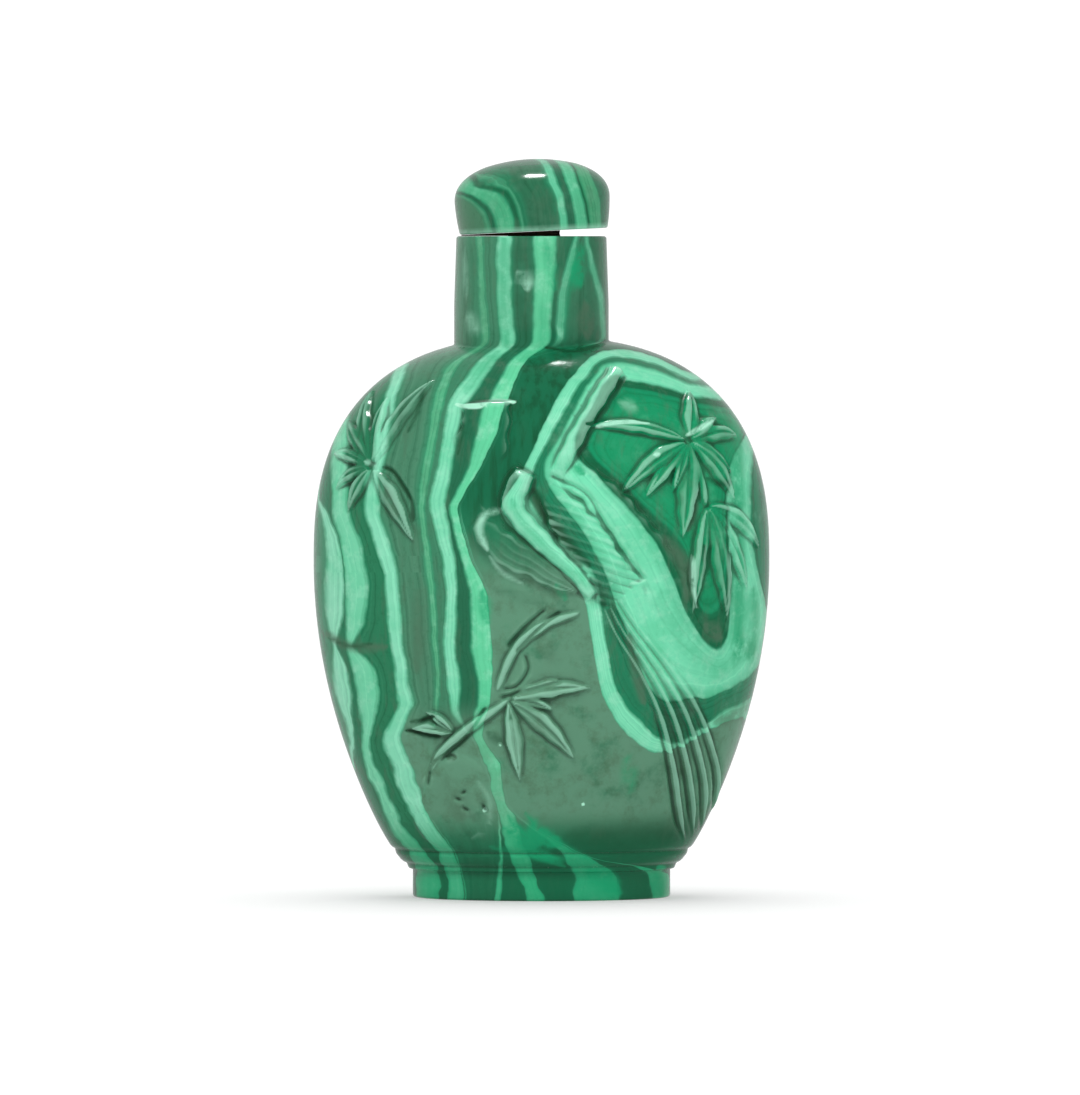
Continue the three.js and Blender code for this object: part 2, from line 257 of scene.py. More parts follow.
def even_heights(low, high, girth, rows):
    """Heights spaced evenly along a profile whose mean radius is girth(z)."""
    z = np.linspace(low, high, PROFILE_SAMPLES)
    length = np.concatenate([[0], np.cumsum(np.hypot(np.diff(z), np.diff(girth(z))))])
    return np.interp(np.linspace(0, length[-1], rows + 1), length, z)


print("sheet columns:", COLUMNS)

# %% [markdown]
# ## Foot, bead, rim and hollow
# The foot is an oval ring with a shallow recess under it. Above it the carver left a narrow bead between
# two incised lines. The rim's edges are eased, and the bore opens into the chamber below the shoulders.

# %% The whole sheet
BEAD_HEIGHT = 3.6
BEAD_HALF = 0.65
GROOVE_DEPTH = 0.17
GROOVE_HALF = 0.2
FOOT_RATIO = FOOT_HALF_DEPTH / FOOT_HALF_WIDTH


def stations(corners, rows, ratio=1.0, middle=0.0):
    """Rows of ovals along straight stretches of a profile; each stretch has its own number of rows."""
    parts = []
    for (start, end), count in zip(zip(corners, corners[1:]), rows):
        share = np.linspace(0, 1, count + 1)[:-1]
        radius = start[0] + (end[0] - start[0]) * share
        height = start[1] + (end[1] - start[1]) * share
        parts.append(ovals(radius, ratio * radius, height, middle))
    return np.concatenate(parts)


def foot_rows():
    eased = FOOT_EDGE * (1 - math.sqrt(0.5))
    corners = [
        (0, RECESS_DEPTH),
        (RECESS_HALF_WIDTH - RECESS_DEPTH, RECESS_DEPTH),
        (RECESS_HALF_WIDTH, 0),
        (FOOT_HALF_WIDTH - FOOT_EDGE, 0),
        (FOOT_HALF_WIDTH - eased, eased),
        (FOOT_HALF_WIDTH, FOOT_EDGE),
        (FOOT_HALF_WIDTH, FOOT_HEIGHT - FOOT_LIP),
        (half_width(FOOT_HEIGHT), FOOT_HEIGHT),
    ]
    counts = [BLOCK, BLOCK, BLOCK, EDGE_ROWS, EDGE_ROWS, FOOT_WALL_ROWS, EDGE_ROWS]
    return stations(corners, counts, FOOT_RATIO)


def outside_rows():
    def girth(z):
        return np.maximum((half_width(z) + half_depth(z)) / 2, NECK_RADIUS)

    z = even_heights(FOOT_HEIGHT, RIM_HEIGHT - RIM_EDGE, girth, BODY_ROWS)
    neck = neck_radius(z) * smooth_step(*NECK_ROOT, z)
    return level_sections(z, half_width(z), half_depth(z), neck)


def rim_rows():
    corners = [
        (RIM_RADIUS, RIM_HEIGHT - RIM_EDGE),
        (RIM_RADIUS - RIM_EDGE, RIM_HEIGHT),
        (BORE_RADIUS + RIM_EDGE, RIM_HEIGHT),
        (BORE_RADIUS, RIM_HEIGHT - RIM_EDGE),
    ]
    return stations(corners, [EDGE_ROWS, BLOCK, EDGE_ROWS], middle=NECK_OFFSET)


def inside_rows():
    def girth(z):
        mean = (CHAMBER_HALF_WIDTH + CHAMBER_HALF_DEPTH) / 2
        return np.maximum(mean * chamber_share(z), np.where(z > sum(BORE_ROOT) / 2, BORE_RADIUS, 0))

    z = even_heights(CHAMBER_FLOOR, RIM_HEIGHT - RIM_EDGE, girth, INSIDE_ROWS)[::-1]
    bore = BORE_RADIUS * smooth_step(*BORE_ROOT, z)
    share = chamber_share(z)
    return level_sections(z, CHAMBER_HALF_WIDTH * share, CHAMBER_HALF_DEPTH * share, bore)


foot_part = foot_rows()
outside_part = outside_rows()
sheet = np.concatenate([foot_part, outside_part[:-1], rim_rows(), inside_rows()])
outside = slice(len(foot_part) - FOOT_WALL_ROWS - EDGE_ROWS, len(foot_part) + len(outside_part))
print("sheet of", sheet.shape[:2], "points, body rows", outside)

# %% [markdown]
# ## Carving tools
# A carver lowers the ground and leaves the leaves and feathers standing. Sculpting by hand would do the
# same, but here every form is a stroke along a path on the body. Inside the stroke the skin is set to the
# form's own height, and just outside it the ground is cut down, so a later stroke lies over an earlier
# one.

# %% Strokes
EDGE = 0.13
GROUND_CUT = 0.15
GROUND_REACH = 0.4
DEEPEST = -0.45
HAND_WOBBLE = 0.06
WOBBLE_RATES = (1.3, 3.1)
PATH_SAMPLES = 26
FACE_LIMIT = 0.998

along_columns = np.roll(sheet, -1, axis=1) - np.roll(sheet, 1, axis=1)
along_rows = np.gradient(sheet, axis=0)
normals = np.cross(along_columns, along_rows)
normals /= np.maximum(np.linalg.norm(normals, axis=2, keepdims=True), 1e-12)

skin = sheet[outside].reshape(-1, 3)
skin_normals = normals[outside].reshape(-1, 3)
relief = np.zeros(len(skin))


def smooth_path(points, samples=PATH_SAMPLES):
    """Points on a smooth curve through the given ones."""
    points = np.asarray(points, float)
    ends = np.concatenate([[2 * points[0] - points[1]], points, [2 * points[-1] - points[-2]]])
    place = np.linspace(0, len(points) - 1 - 1e-9, samples)
    k = place.astype(int)
    t = (place - k)[:, None]
    a, b, c, d = ends[k], ends[k + 1], ends[k + 2], ends[k + 3]
    return b + 0.5 * t * (c - a + t * (2 * a - 5 * b + 4 * c - d + t * (3 * (b - c) + d - a)))


def depth_at(x, z):
    """How far the foot, the body or the neck stands out at a place on the face."""
    on_foot = z < FOOT_HEIGHT
    wide = np.where(on_foot, FOOT_HALF_WIDTH, half_width(z))
    deep = np.where(on_foot, FOOT_HALF_DEPTH, half_depth(z))
    across = np.clip(x / np.maximum(wide, 1), -FACE_LIMIT, FACE_LIMIT)
    body = deep * np.sqrt(1 - across**2)
    neck = np.sqrt(np.maximum(neck_radius(z) ** 2 - (x - NECK_OFFSET) ** 2, 0))
    return np.where(z > SHOULDER_TOP - 1, np.maximum(body, neck), body)


def on_body(path, side=1):
    """Carries a path, as it is seen, onto the front (side 1) or the back (side -1)."""
    eye = np.array([camera.location.x, camera.location.z]) / MM
    path = np.asarray(path, float)
    x, z = path.T
    for _ in range(3):
        y = -side * depth_at(x, z)
        x, z = (eye + (path - eye) * nearness(y)[:, None]).T
    return np.stack([x, y, z], axis=1)


def measure(line, margin):
    """The skin points near a line: which they are, how far along it and across it, and the line's length."""
    low = line.min(axis=0) - margin
    high = line.max(axis=0) + margin
    index = np.flatnonzero(np.all((skin >= low) & (skin <= high), axis=1))
    step = np.diff(line, axis=0)
    size = np.linalg.norm(step, axis=1)
    start = np.concatenate([[0], np.cumsum(size)])
    offset = skin[index][:, None] - line[:-1]
    least = np.where(np.arange(len(size)) == 0, -np.inf, 0)
    most = np.where(np.arange(len(size)) == len(size) - 1, np.inf, 1)
    part = np.clip((offset * step).sum(axis=2) / size**2, least, most)
    offset = offset - part[..., None] * step
    distance = np.linalg.norm(offset, axis=2)
    best = distance.argmin(axis=1)
    row = np.arange(len(index))
    along = start[best] + part[row, best] * size[best]
    hand = np.cross(skin_normals[index], step[best])
    across = np.sign((offset[row, best] * hand).sum(axis=1)) * distance[row, best]
    return index, along, across, start[-1]


def carve(line, form, width_at, height_at):
    """Sets the skin to a form along a line, and cuts the ground down round it."""
    index, along, across, length = measure(line, form["half"] + 3 * GROUND_REACH)
    share = np.clip(along / length, 0, 1)
    wobble = 1 + HAND_WOBBLE * sum(np.sin(rate * (along + length)) for rate in WOBBLE_RATES)
    width = form["half"] * width_at(share) * wobble + 1e-6
    past_end = np.maximum(-along, along - length)
    inside = np.minimum(width - np.abs(across), -past_end)
    edge = form.get("edge", EDGE)
    cover = smooth_step(-edge, edge, inside)
    q = np.clip(across / width, -1, 1)
    raised = form["height"] * height_at(share) * form["section"](q)
    if "lines" in form:
        raised = raised - form["lines"](along, across, q)
    cut = form.get("cut", GROUND_CUT) * height_at(share)
    cut = cut * np.exp(-((np.minimum(inside, 0) / GROUND_REACH) ** 2))
    low = np.maximum(relief[index] - cut, DEEPEST)
    relief[index] = low * (1 - cover) + raised * cover


def incise(line, depth, half):
    """Cuts a fine line that fades out at both ends."""
    index, along, across, length = measure(line, 4 * half)
    ends = np.minimum(along, length - along)
    relief[index] -= depth * np.exp(-((across / half) ** 2)) * smooth_step(-half, 2 * half, ends)


def swell(share, peak=0.5):
    """Rises from nought to one at the peak, and falls to nought."""
    return np.maximum(np.sin(np.pi * share ** (math.log(0.5) / math.log(peak))), 0)


def steady(share):
    return np.ones_like(share)


def fading(share):
    return 1 - smooth_step(0.3, 1, share)


def easing(share):
    return smooth_step(0, 0.15, share) * fading(share)


def stalk_height(share):
    return 1 - smooth_step(0.75, 1, share)


def blunt(share):
    return swell(share) ** 0.3


def round_section(q):
    return np.sqrt(1 - 0.92 * q**2)


def pad_section(q):
    return 1 - 0.4 * q**2 - 0.2 * q**6


def comb(phase, gap, half):
    """Ridges of height one, a gap apart."""
    return np.exp(-(((phase - gap * np.round(phase / gap)) / half) ** 2))


print("tools ready for", len(skin), "points of skin")

# %% [markdown]
# ## Rock, stalks and twigs
# Behind the bird stand a cut stub, a leaning stalk and a smooth trunk, and a twig with a low pitted rock
# hangs at the lower left. They are cut first, because the leaves and the bird lie over them. A form's cut
# is how deep the ground is taken down beside it, and its edge is how softly it meets the ground.

# %% Stalks and twigs
STUB = {"half": 2.2, "height": 0.62, "section": pad_section, "edge": 0.16, "cut": 0.05}
ROCK = {"half": 3.0, "height": 0.3, "section": round_section, "edge": 0.5, "cut": 0.05}
TRUNK = {"half": 2.0, "height": 0.6, "section": round_section, "edge": 0.4, "cut": 0.12}
STALK = {"half": 0.72, "height": 0.75, "section": round_section, "edge": 0.16, "cut": 0.1}
TWIG = {"half": 0.42, "height": 0.36, "section": round_section}

STEMS = [
    (ROCK, 1, [(-9.6, 4.6), (-8.2, 9), (-6.4, 12.4)], blunt, blunt),
    (STUB, 1, [(-4.95, 44.05), (-5.1, 41.5), (-6.4, 37.4)], steady, fading),
    (TRUNK, 1, [(1.4, 38.9), (5.2, 35.8), (9.4, 30.6), (12.6, 25.2), (15.2, 20.4)], blunt, easing),
    (STALK, 1, [(6.7, 46.9), (4.8, 43.9), (3, 40.8), (1.6, 38.2), (0.9, 36.8)], steady, stalk_height),
    (TWIG, 1, [(3.4, 25.4), (0.3, 24.3), (-2.4, 22), (-4, 18.4)], blunt, blunt),
    (TWIG, 1, [(-2.9, 17.6), (-6, 15.4), (-8.6, 13.3), (-10.1, 11)], blunt, blunt),
    (TWIG, 1, [(13.1, 40.8), (14, 38), (14.7, 35)], blunt, blunt),
    (TWIG, -1, [(-8, 40), (-4, 34), (1, 27), (5, 22), (8, 12)], blunt, blunt),
]

for form, side, path, width_at, height_at in STEMS:
    carve(on_body(smooth_path(path), side), form, width_at, height_at)
print("stems:", len(STEMS), "highest, mm:", relief.max().round(2))

# %% [markdown]
# ## Bamboo leaves
# Each spray of bamboo is a fan of pointed leaves from one node. A leaf is a stroke that swells and comes
# to a point, with a groove down its middle and one side a little higher than the other, as a small chisel
# leaves it. A leaf is given by its angle, its length and half its width, and every other leaf leans the
# other way.

# %% Leaves
LEAF_HEIGHT = 0.52
LEAF_CUT = 0.12
LEAF_GAP = 0.4
LEAF_DROOP = 0.06
LEAF_LEAN = 0.22

SPRAYS = [
    (1, (-15.1, 38.5), [(66, 8.5, 0.8), (99, 6.3, 0.75), (130, 8.8, 0.8), (150, 8, 0.7), (172, 7, 0.6)]),
    (1, (-15.1, 38.5), [(-156, 5.3, 0.6), (-122, 5, 0.6), (-57, 8.1, 0.85)]),
    (1, (14.7, 35.1), [(-27, 9, 0.75), (-54, 9.6, 0.9), (-74, 10.7, 0.95), (-97, 9.9, 0.75)]),
    (1, (13.1, 40.8), [(2, 7.6, 0.75), (24, 5, 0.6), (62, 5.2, 0.85), (-34, 6, 0.7), (-47, 7.7, 0.75)]),
    (1, (13.1, 40.8), [(-95, 9, 1.05), (-112, 5, 0.6), (-131, 7, 0.7), (-145, 8.4, 0.8), (172, 9.9, 0.62)]),
    (1, (-7.6, 14.6), [(176, 4.6, 0.5), (146, 3.4, 0.45)]),
    (1, (-3, 17.7), [(-14, 4.2, 0.5), (7, 7.8, 0.75), (-42, 8.1, 0.8), (-83, 7.5, 0.7)]),
    (-1, (-4, 34), [(150, 8, 0.8), (188, 7, 0.7), (-140, 8.5, 0.8), (-100, 9, 0.85), (-58, 7.5, 0.7)]),
    (-1, (5, 22), [(40, 7, 0.7), (8, 8, 0.8), (-28, 8, 0.8), (-70, 6.5, 0.65), (-125, 7, 0.7)]),
]


def snap(points):
    """Moves points level, in or out, onto the body."""
    scale = np.hypot(points[:, 0] / half_width(points[:, 2]), points[:, 1] / half_depth(points[:, 2]))
    return points / np.stack([scale, scale, np.ones_like(scale)], axis=1)


def leaf_line(node, side, angle, length):
    base = on_body([node], side)[0]
    out = skin_normals[np.linalg.norm(skin - base, axis=1).argmin()]
    east = np.cross((0, 0, 1), out)
    east /= np.linalg.norm(east)
    north = np.cross(out, east)
    turn = math.radians(angle)
    share = np.linspace(0, 1, PATH_SAMPLES)[:, None]
    run = LEAF_GAP + share * (length - LEAF_GAP)
    points = base + run * (math.cos(turn) * east + math.sin(turn) * north)
    points[:, 2] += LEAF_DROOP * length * swell(share[:, 0])
    return snap(points)


def leaf_section(lean):
    """Section of a leaf that is higher on one side."""
    return lambda q: 1 - 0.5 * q**2 - 0.45 * np.exp(-((q / 0.2) ** 2)) + lean * q


def leaf_width(share):
    return swell(share, 0.42) ** 0.85


def leaf_height(share):
    return 0.45 + 0.55 * swell(share)


for side, node, fan in SPRAYS:
    for number, (angle, length, half) in enumerate(fan):
        section = leaf_section(LEAF_LEAN * (-1) ** number)
        leaf = {"half": half, "height": LEAF_HEIGHT, "section": section, "cut": LEAF_CUT}
        carve(leaf_line(node, side, angle, length), leaf, leaf_width, leaf_height)
print("leaves:", sum(len(fan) for _, _, fan in SPRAYS))

# %% [markdown]
# ## The bird
# A long-tailed bird perches with its back to us. The tail is a group of feathers that fan from a first
# path to a last one, so only those two are given: fine at the root, and bold at the tip. Each wing is one
# raised pad with feathers cut into it as fine lines: along the left wing, and slanting off the back on
# the right wing.

# %% Feathers
TAIL_ROOT_FIRST = [(600, 598), (616, 634), (641, 674)]
TAIL_TIP_FIRST = [(661, 718), (673, 768), (679, 812), (686, 845)]
TAIL_ROOT_LAST = [(613, 590), (639, 628), (671, 668)]
TAIL_TIP_LAST = [(697, 708), (712, 748), (718, 782), (709, 828)]
TAIL_COUNT = 4
TAIL_FALL = 0.4
LEFT_WING_PATH = spots((475, 521), (501, 546), (539, 569), (578, 592))
RIGHT_WING_PATH = spots((538, 480), (560, 508), (584, 541), (608, 575), (624, 596))
BACK_PATH = spots((525, 473), (513, 500), (523, 522), (548, 548), (572, 572), (592, 595))
LEFT_LINES = {"gap": 0.42, "half": 0.1}
LEFT_LINE_DEPTH = 0.12
LEFT_LINE_START = (1.5, 4)
RIGHT_LINES = {"gap": 1.25, "half": 0.26}
RIGHT_LINE_DEPTH = 0.15
RIGHT_LINE_START = (1.5, 3.5)
RIGHT_LINE_SLANT = 1.43


def feather_section(q):
    return 1 - 0.6 * q**2 - 0.2 * np.exp(-((q / 0.18) ** 2))


def tail_width(share):
    return (0.6 + 0.4 * smooth_step(0, 0.5, share)) * (1 - 0.55 * smooth_step(0.8, 1, share))


def tail_height(share):
    return (0.28 + 0.72 * smooth_step(0.3, 0.75, share)) * (1 - smooth_step(0.8, 1, share))


def left_wing_lines(along, across, q):
    phase = q + 0.05 * np.sin(1.7 * along)
    return LEFT_LINE_DEPTH * comb(phase, **LEFT_LINES) * smooth_step(*LEFT_LINE_START, along)


def right_wing_lines(along, across, q):
    phase = along - RIGHT_LINE_SLANT * across
    return RIGHT_LINE_DEPTH * comb(phase, **RIGHT_LINES) * smooth_step(*RIGHT_LINE_START, along)


def left_wing_width(share):
    return swell(share, 0.36) ** 0.5


def wing_width(share):
    return 0.3 + 0.7 * smooth_step(0, 0.45, share)


def wing_height(share):
    return smooth_step(0, 0.35, share) * (1 - smooth_step(0.72, 1, share))


def back_width(share):
    return 1 - 0.45 * share**2


def back_height(share):
    return 1 - 0.4 * share


TAIL = {"half": 0.27, "height": 0.5, "section": feather_section, "cut": 0.36}
LEFT_WING = {"half": 1.65, "height": 0.7, "section": pad_section, "edge": 0.5, "cut": 0.04}
LEFT_WING["lines"] = left_wing_lines
RIGHT_WING = {"half": 2.05, "height": 0.95, "section": pad_section, "edge": 0.22, "lines": right_wing_lines}
BACK = {"half": 1.05, "height": 1.0, "section": round_section, "edge": 0.25, "cut": 0.04}

tail_first = spots(*TAIL_ROOT_FIRST, *TAIL_TIP_FIRST)
tail_last = spots(*TAIL_ROOT_LAST, *TAIL_TIP_LAST)
for share in np.linspace(0, 1, TAIL_COUNT):
    path = smooth_path(tail_first + (tail_last - tail_first) * share)
    feather = TAIL | {"height": TAIL["height"] * (1 - TAIL_FALL * share)}
    carve(on_body(path), feather, tail_width, tail_height)
carve(on_body(smooth_path(LEFT_WING_PATH)), LEFT_WING, left_wing_width, blunt)
carve(on_body(smooth_path(RIGHT_WING_PATH)), RIGHT_WING, wing_width, wing_height)
carve(on_body(smooth_path(BACK_PATH)), BACK, back_width, back_height)
print("relief from", relief.min().round(2), "to", relief.max().round(2), "mm")

# %% [markdown]
# ## Incised lines
# Last come lines cut straight into the stone with a fine point: the bark of the twig, the edges of a few
# leaves, and the small pits of the rock. They are only dark strokes in the photograph, but a cut catches
# light as paint doesn't, so they are shallow grooves here.

# %% Fine cuts
CUT_DEPTH = 0.3
CUT_HALF = 0.2
CUTS = [
    [(525, 654), (528, 670), (517, 686), (503, 690)],
    [(485, 708), (472, 730), (452, 749), (432, 765), (428, 786)],
    [(420, 722), (428, 718), (437, 715)],
    [(405, 731), (418, 733), (440, 737)],
    [(500, 698), (530, 690), (562, 681)],
    [(382, 466), (392, 471), (402, 485), (411, 502), (413, 522)],
    [(546, 609), (526, 626), (507, 647)],
    [(560, 612), (536, 631), (516, 652)],
    [(550, 475), (585, 494), (602, 522), (622, 553), (645, 581)],
    [(446, 757), (452, 756), (457, 758)],
    [(461, 794), (464, 792), (467, 790)],
    [(455, 797), (459, 799), (463, 800)],
    [(462, 806), (466, 809), (470, 811)],
    [(482, 804), (484, 809), (488, 813)],
]

for pixels in CUTS:
    incise(on_body(smooth_path(spots(*pixels))), CUT_DEPTH, CUT_HALF)
for groove in (BEAD_HEIGHT - BEAD_HALF, BEAD_HEIGHT + BEAD_HALF):
    relief -= GROOVE_DEPTH * np.exp(-(((skin[:, 2] - groove) / GROOVE_HALF) ** 2))
print("cuts:", len(CUTS), "deepest, mm:", relief.min().round(2))

# %% [markdown]
# ## Banding
# Malachite grows in layers, and a cut shows them as light and dark bands. Painting each band would blur
# at close range. The edges of the bands are kept as lines instead, and the shader counts how many of them
# lie to the left of each place, which gives crisp edges and fine lines inside each band. For that each
# point of the mesh stores where it is seen on the face. Each band is a few points of its middle line with
# half its width, in pixels.

# %% Layers that run up the bottle


def beside(band):
    """The same points, a pixel to the right."""
    return [(x + 1, y, half) for x, y, half in band]


EYE_UPPER = [(318, 500, 1), (330, 530, 5), (335, 560, 9), (335, 590, 10)]
EYE_PINCH = [(334, 620, 8), (334, 637, 4), (335, 647, 0)]
EYE_LOWER = [(337, 657, 5), (340, 672, 8), (343, 695, 8), (347, 716, 4), (352, 742, 2)]
OUTER_UPPER = [(340, 515, 8), (352, 545, 10), (357, 590, 11), (355, 626, 9), (351, 640, 5), (348, 647, 1)]
OUTER_LOWER = [(356, 656, 7), (364, 669, 10), (368, 695, 11), (367, 726, 6), (367, 745, 3), (374, 775, 5)]
OUTER_FOOT = [(389, 805, 6), (402, 835, 6), (426, 868, 9), (427, 895, 10)]
FIRST_UPPER = [(404, 362, 5), (390, 400, 6), (387, 430, 5), (374, 480, 6), (371, 510, 7)]
FIRST_MIDDLE = [(381, 540, 8), (391, 575, 7), (396, 640, 6), (406, 705, 6), (392, 740, 8), (402, 772, 10)]
FIRST_LOWER = [(413, 800, 9), (430, 830, 9), (448, 852, 8), (456, 895, 9)]
FAINT_NECK = [(479, 240, 3), (482, 290, 3), (486, 347, 3)]
FAINT_UPPER = [(474, 353, 3), (454, 364, 4), (441, 392, 5), (433, 430, 4), (426, 470, 4), (422, 510, 3)]
FAINT_LOWER = [(432, 600, 3), (438, 690, 2), (432, 735, 0), (422, 800, 0)]
FAINT_FOOT = [(439, 830, 0), (456, 852, 0), (465, 895, 0)]
SECOND_NECK = [(504, 235, 7), (504, 290, 7), (508, 347, 7)]
SECOND_UPPER = [(498, 353, 8), (485, 366, 9), (457, 405, 9), (449, 440, 7), (437, 505, 7)]
SECOND_MIDDLE = [(449, 560, 6), (452, 600, 5), (449, 640, 6), (454, 685, 6), (455, 715, 3)]
SECOND_LOWER = [(473, 737, 0), (486, 768, 0), (499, 815, 0), (502, 862, 1), (497, 895, 3)]
THIRD_NECK = [(545, 235, 12), (544, 290, 9), (541, 347, 8)]
THIRD_UPPER = [(530, 353, 8), (516, 366, 8), (498, 405, 11), (488, 440, 11), (476, 470, 7)]
THIRD_MIDDLE = [(453, 508, 5), (468, 562, 6), (480, 595, 9), (483, 645, 11), (487, 690, 7), (479, 735, 6)]
THIRD_LOWER = [(493, 768, 7), (506, 815, 7), (520, 862, 8), (534, 895, 9)]
LEFT_VEIN_NECK = [(577, 240, 2), (570, 265, 4), (562, 300, 4), (559, 347, 4), (537, 354, 0)]
LEFT_VEIN = [(522, 367, 0), (507, 405, 0), (497, 440, 0), (481, 470, 0), (456, 508, 0), (472, 562, 0)]
LEFT_VEIN_LOWER = [(488, 595, 0), (493, 645, 0), (493, 690, 0), (484, 735, 0), (499, 768, 0), (512, 815, 0)]
LEFT_VEIN_FOOT = [(560, 845, 5), (597, 875, 20), (597, 895, 22)]
RIGHT_VEIN_NECK = [(586, 240, 2), (593, 270, 3), (601, 300, 3), (605, 346, 3), (538, 355, 0)]
RIGHT_VEIN_FOOT = [(564, 846, 0), (588, 860, 0), (650, 868, 3), (661, 875, 10), (661, 895, 11)]
BANDS = [
    EYE_UPPER + EYE_PINCH + EYE_LOWER,
    OUTER_UPPER + OUTER_LOWER + OUTER_FOOT,
    FIRST_UPPER + FIRST_MIDDLE + FIRST_LOWER,
    FAINT_NECK + FAINT_UPPER + FAINT_LOWER + FAINT_FOOT,
    SECOND_NECK + SECOND_UPPER + SECOND_MIDDLE + SECOND_LOWER,
    THIRD_NECK + THIRD_UPPER + THIRD_MIDDLE + THIRD_LOWER,
    LEFT_VEIN_NECK + LEFT_VEIN + LEFT_VEIN_LOWER + LEFT_VEIN_FOOT,
    RIGHT_VEIN_NECK + beside(LEFT_VEIN + LEFT_VEIN_LOWER) + RIGHT_VEIN_FOOT,
]
LEAST_BAND = 0.004
BACK_DRIFT = 0.35
LEVELS = np.linspace(-1, RIM_HEIGHT + 1, 600)
LINE_EASE = 3


def band_edges(band):
    """Both edges of a band, across, at each level."""
    x, y, half = np.array(band, float).T
    across, up = spots(*zip(x, y)).T
    order = np.argsort(up)
    middle = np.interp(LEVELS, up[order], across[order])
    spread = np.interp(LEVELS, up[order], half[order]) / PIXELS_PER_MM + LEAST_BAND
    return middle - spread, middle + spread


def gauss_taps(width):
    taps = np.exp(-((np.arange(-3 * width, 3 * width + 1) / width) ** 2) / 2)
    return taps / taps.sum()


def ease(line):
    """Rounds the corners of a line given at each level."""
    padded = np.pad(line, 3 * LINE_EASE, mode="edge")
    return np.convolve(padded, gauss_taps(LINE_EASE), mode="valid")


flat = seen(sheet)
drifted = flat[..., 0] + BACK_DRIFT * np.maximum(sheet[..., 1], 0)
edge_lines = [ease(edge) for band in BANDS for edge in band_edges(band)]
print("edges of bands:", len(edge_lines))

# %% [markdown]
# ## Nested layers round the bird
# On the right the layers close on themselves like the rings of an agate, with a point to the left behind
# the bird. Rings that all surround one centre are simplest as a distance from it for each direction, so
# each ring is a few points that a smooth closed curve runs through.

# %% Rings
RING_CENTRE = spot(690, 470)
RING_SAMPLES = 400
RING_ANGLES = np.linspace(-np.pi, np.pi, 121)
INNER = [(745, 418), (690, 402), (640, 390), (617, 391), (603, 412), (588, 447), (622, 482)]
INNER_LOW = [(650, 510), (672, 531), (688, 555), (699, 606), (712, 613), (722, 598), (723, 540), (727, 470)]
DARK = [(750, 412), (690, 395), (640, 382), (609, 382), (592, 407), (573, 447), (600, 480)]
DARK_LOW = [(630, 514), (655, 545), (672, 580), (688, 618), (716, 650), (730, 624), (726, 540), (730, 470)]
LIGHT = [(755, 400), (690, 383), (655, 371), (618, 363), (597, 373), (566, 425), (545, 468), (560, 500)]
LIGHT_LOW = [(585, 535), (604, 572), (627, 632), (655, 695), (700, 697), (742, 682)]
LIGHT_SIDE = [(770, 640), (763, 595), (753, 550), (750, 480)]
VEIN_IN = [(760, 394), (690, 378), (655, 365), (618, 357), (592, 368), (560, 417), (536, 465), (528, 498)]
VEIN_IN_LOW = [(552, 531), (592, 574), (604, 630), (617, 690), (638, 718), (672, 744)]
VEIN_IN_SIDE = [(720, 714), (760, 690), (820, 600)]
VEIN_OUT = [(770, 385), (690, 372), (655, 357), (618, 349), (586, 360), (552, 406), (522, 474), (500, 512)]
VEIN_OUT_LOW = [(532, 545), (578, 588), (590, 630), (601, 690), (622, 729), (658, 754)]
VEIN_OUT_SIDE = [(722, 724), (770, 705), (840, 600)]
RINGS = [
    INNER + INNER_LOW,
    DARK + DARK_LOW,
    LIGHT + LIGHT_LOW + LIGHT_SIDE,
    VEIN_IN + VEIN_IN_LOW + VEIN_IN_SIDE,
    VEIN_OUT + VEIN_OUT_LOW + VEIN_OUT_SIDE,
]


def ring_distance(ring):
    """A ring's distance from the centre, for directions all the way round from the right."""
    points = spots(*ring)
    closed = np.concatenate([points[-2:], points, points[:2]])
    across, up = (smooth_path(closed, RING_SAMPLES) - RING_CENTRE).T
    angle = np.arctan2(up, -across)
    order = np.argsort(angle)
    return np.interp(RING_ANGLES, angle[order], np.hypot(across, up)[order], period=2 * np.pi)


ring_lines = [ring_distance(ring) for ring in RINGS]
print("widest ring, mm:", ring_lines[-1].max().round(1))
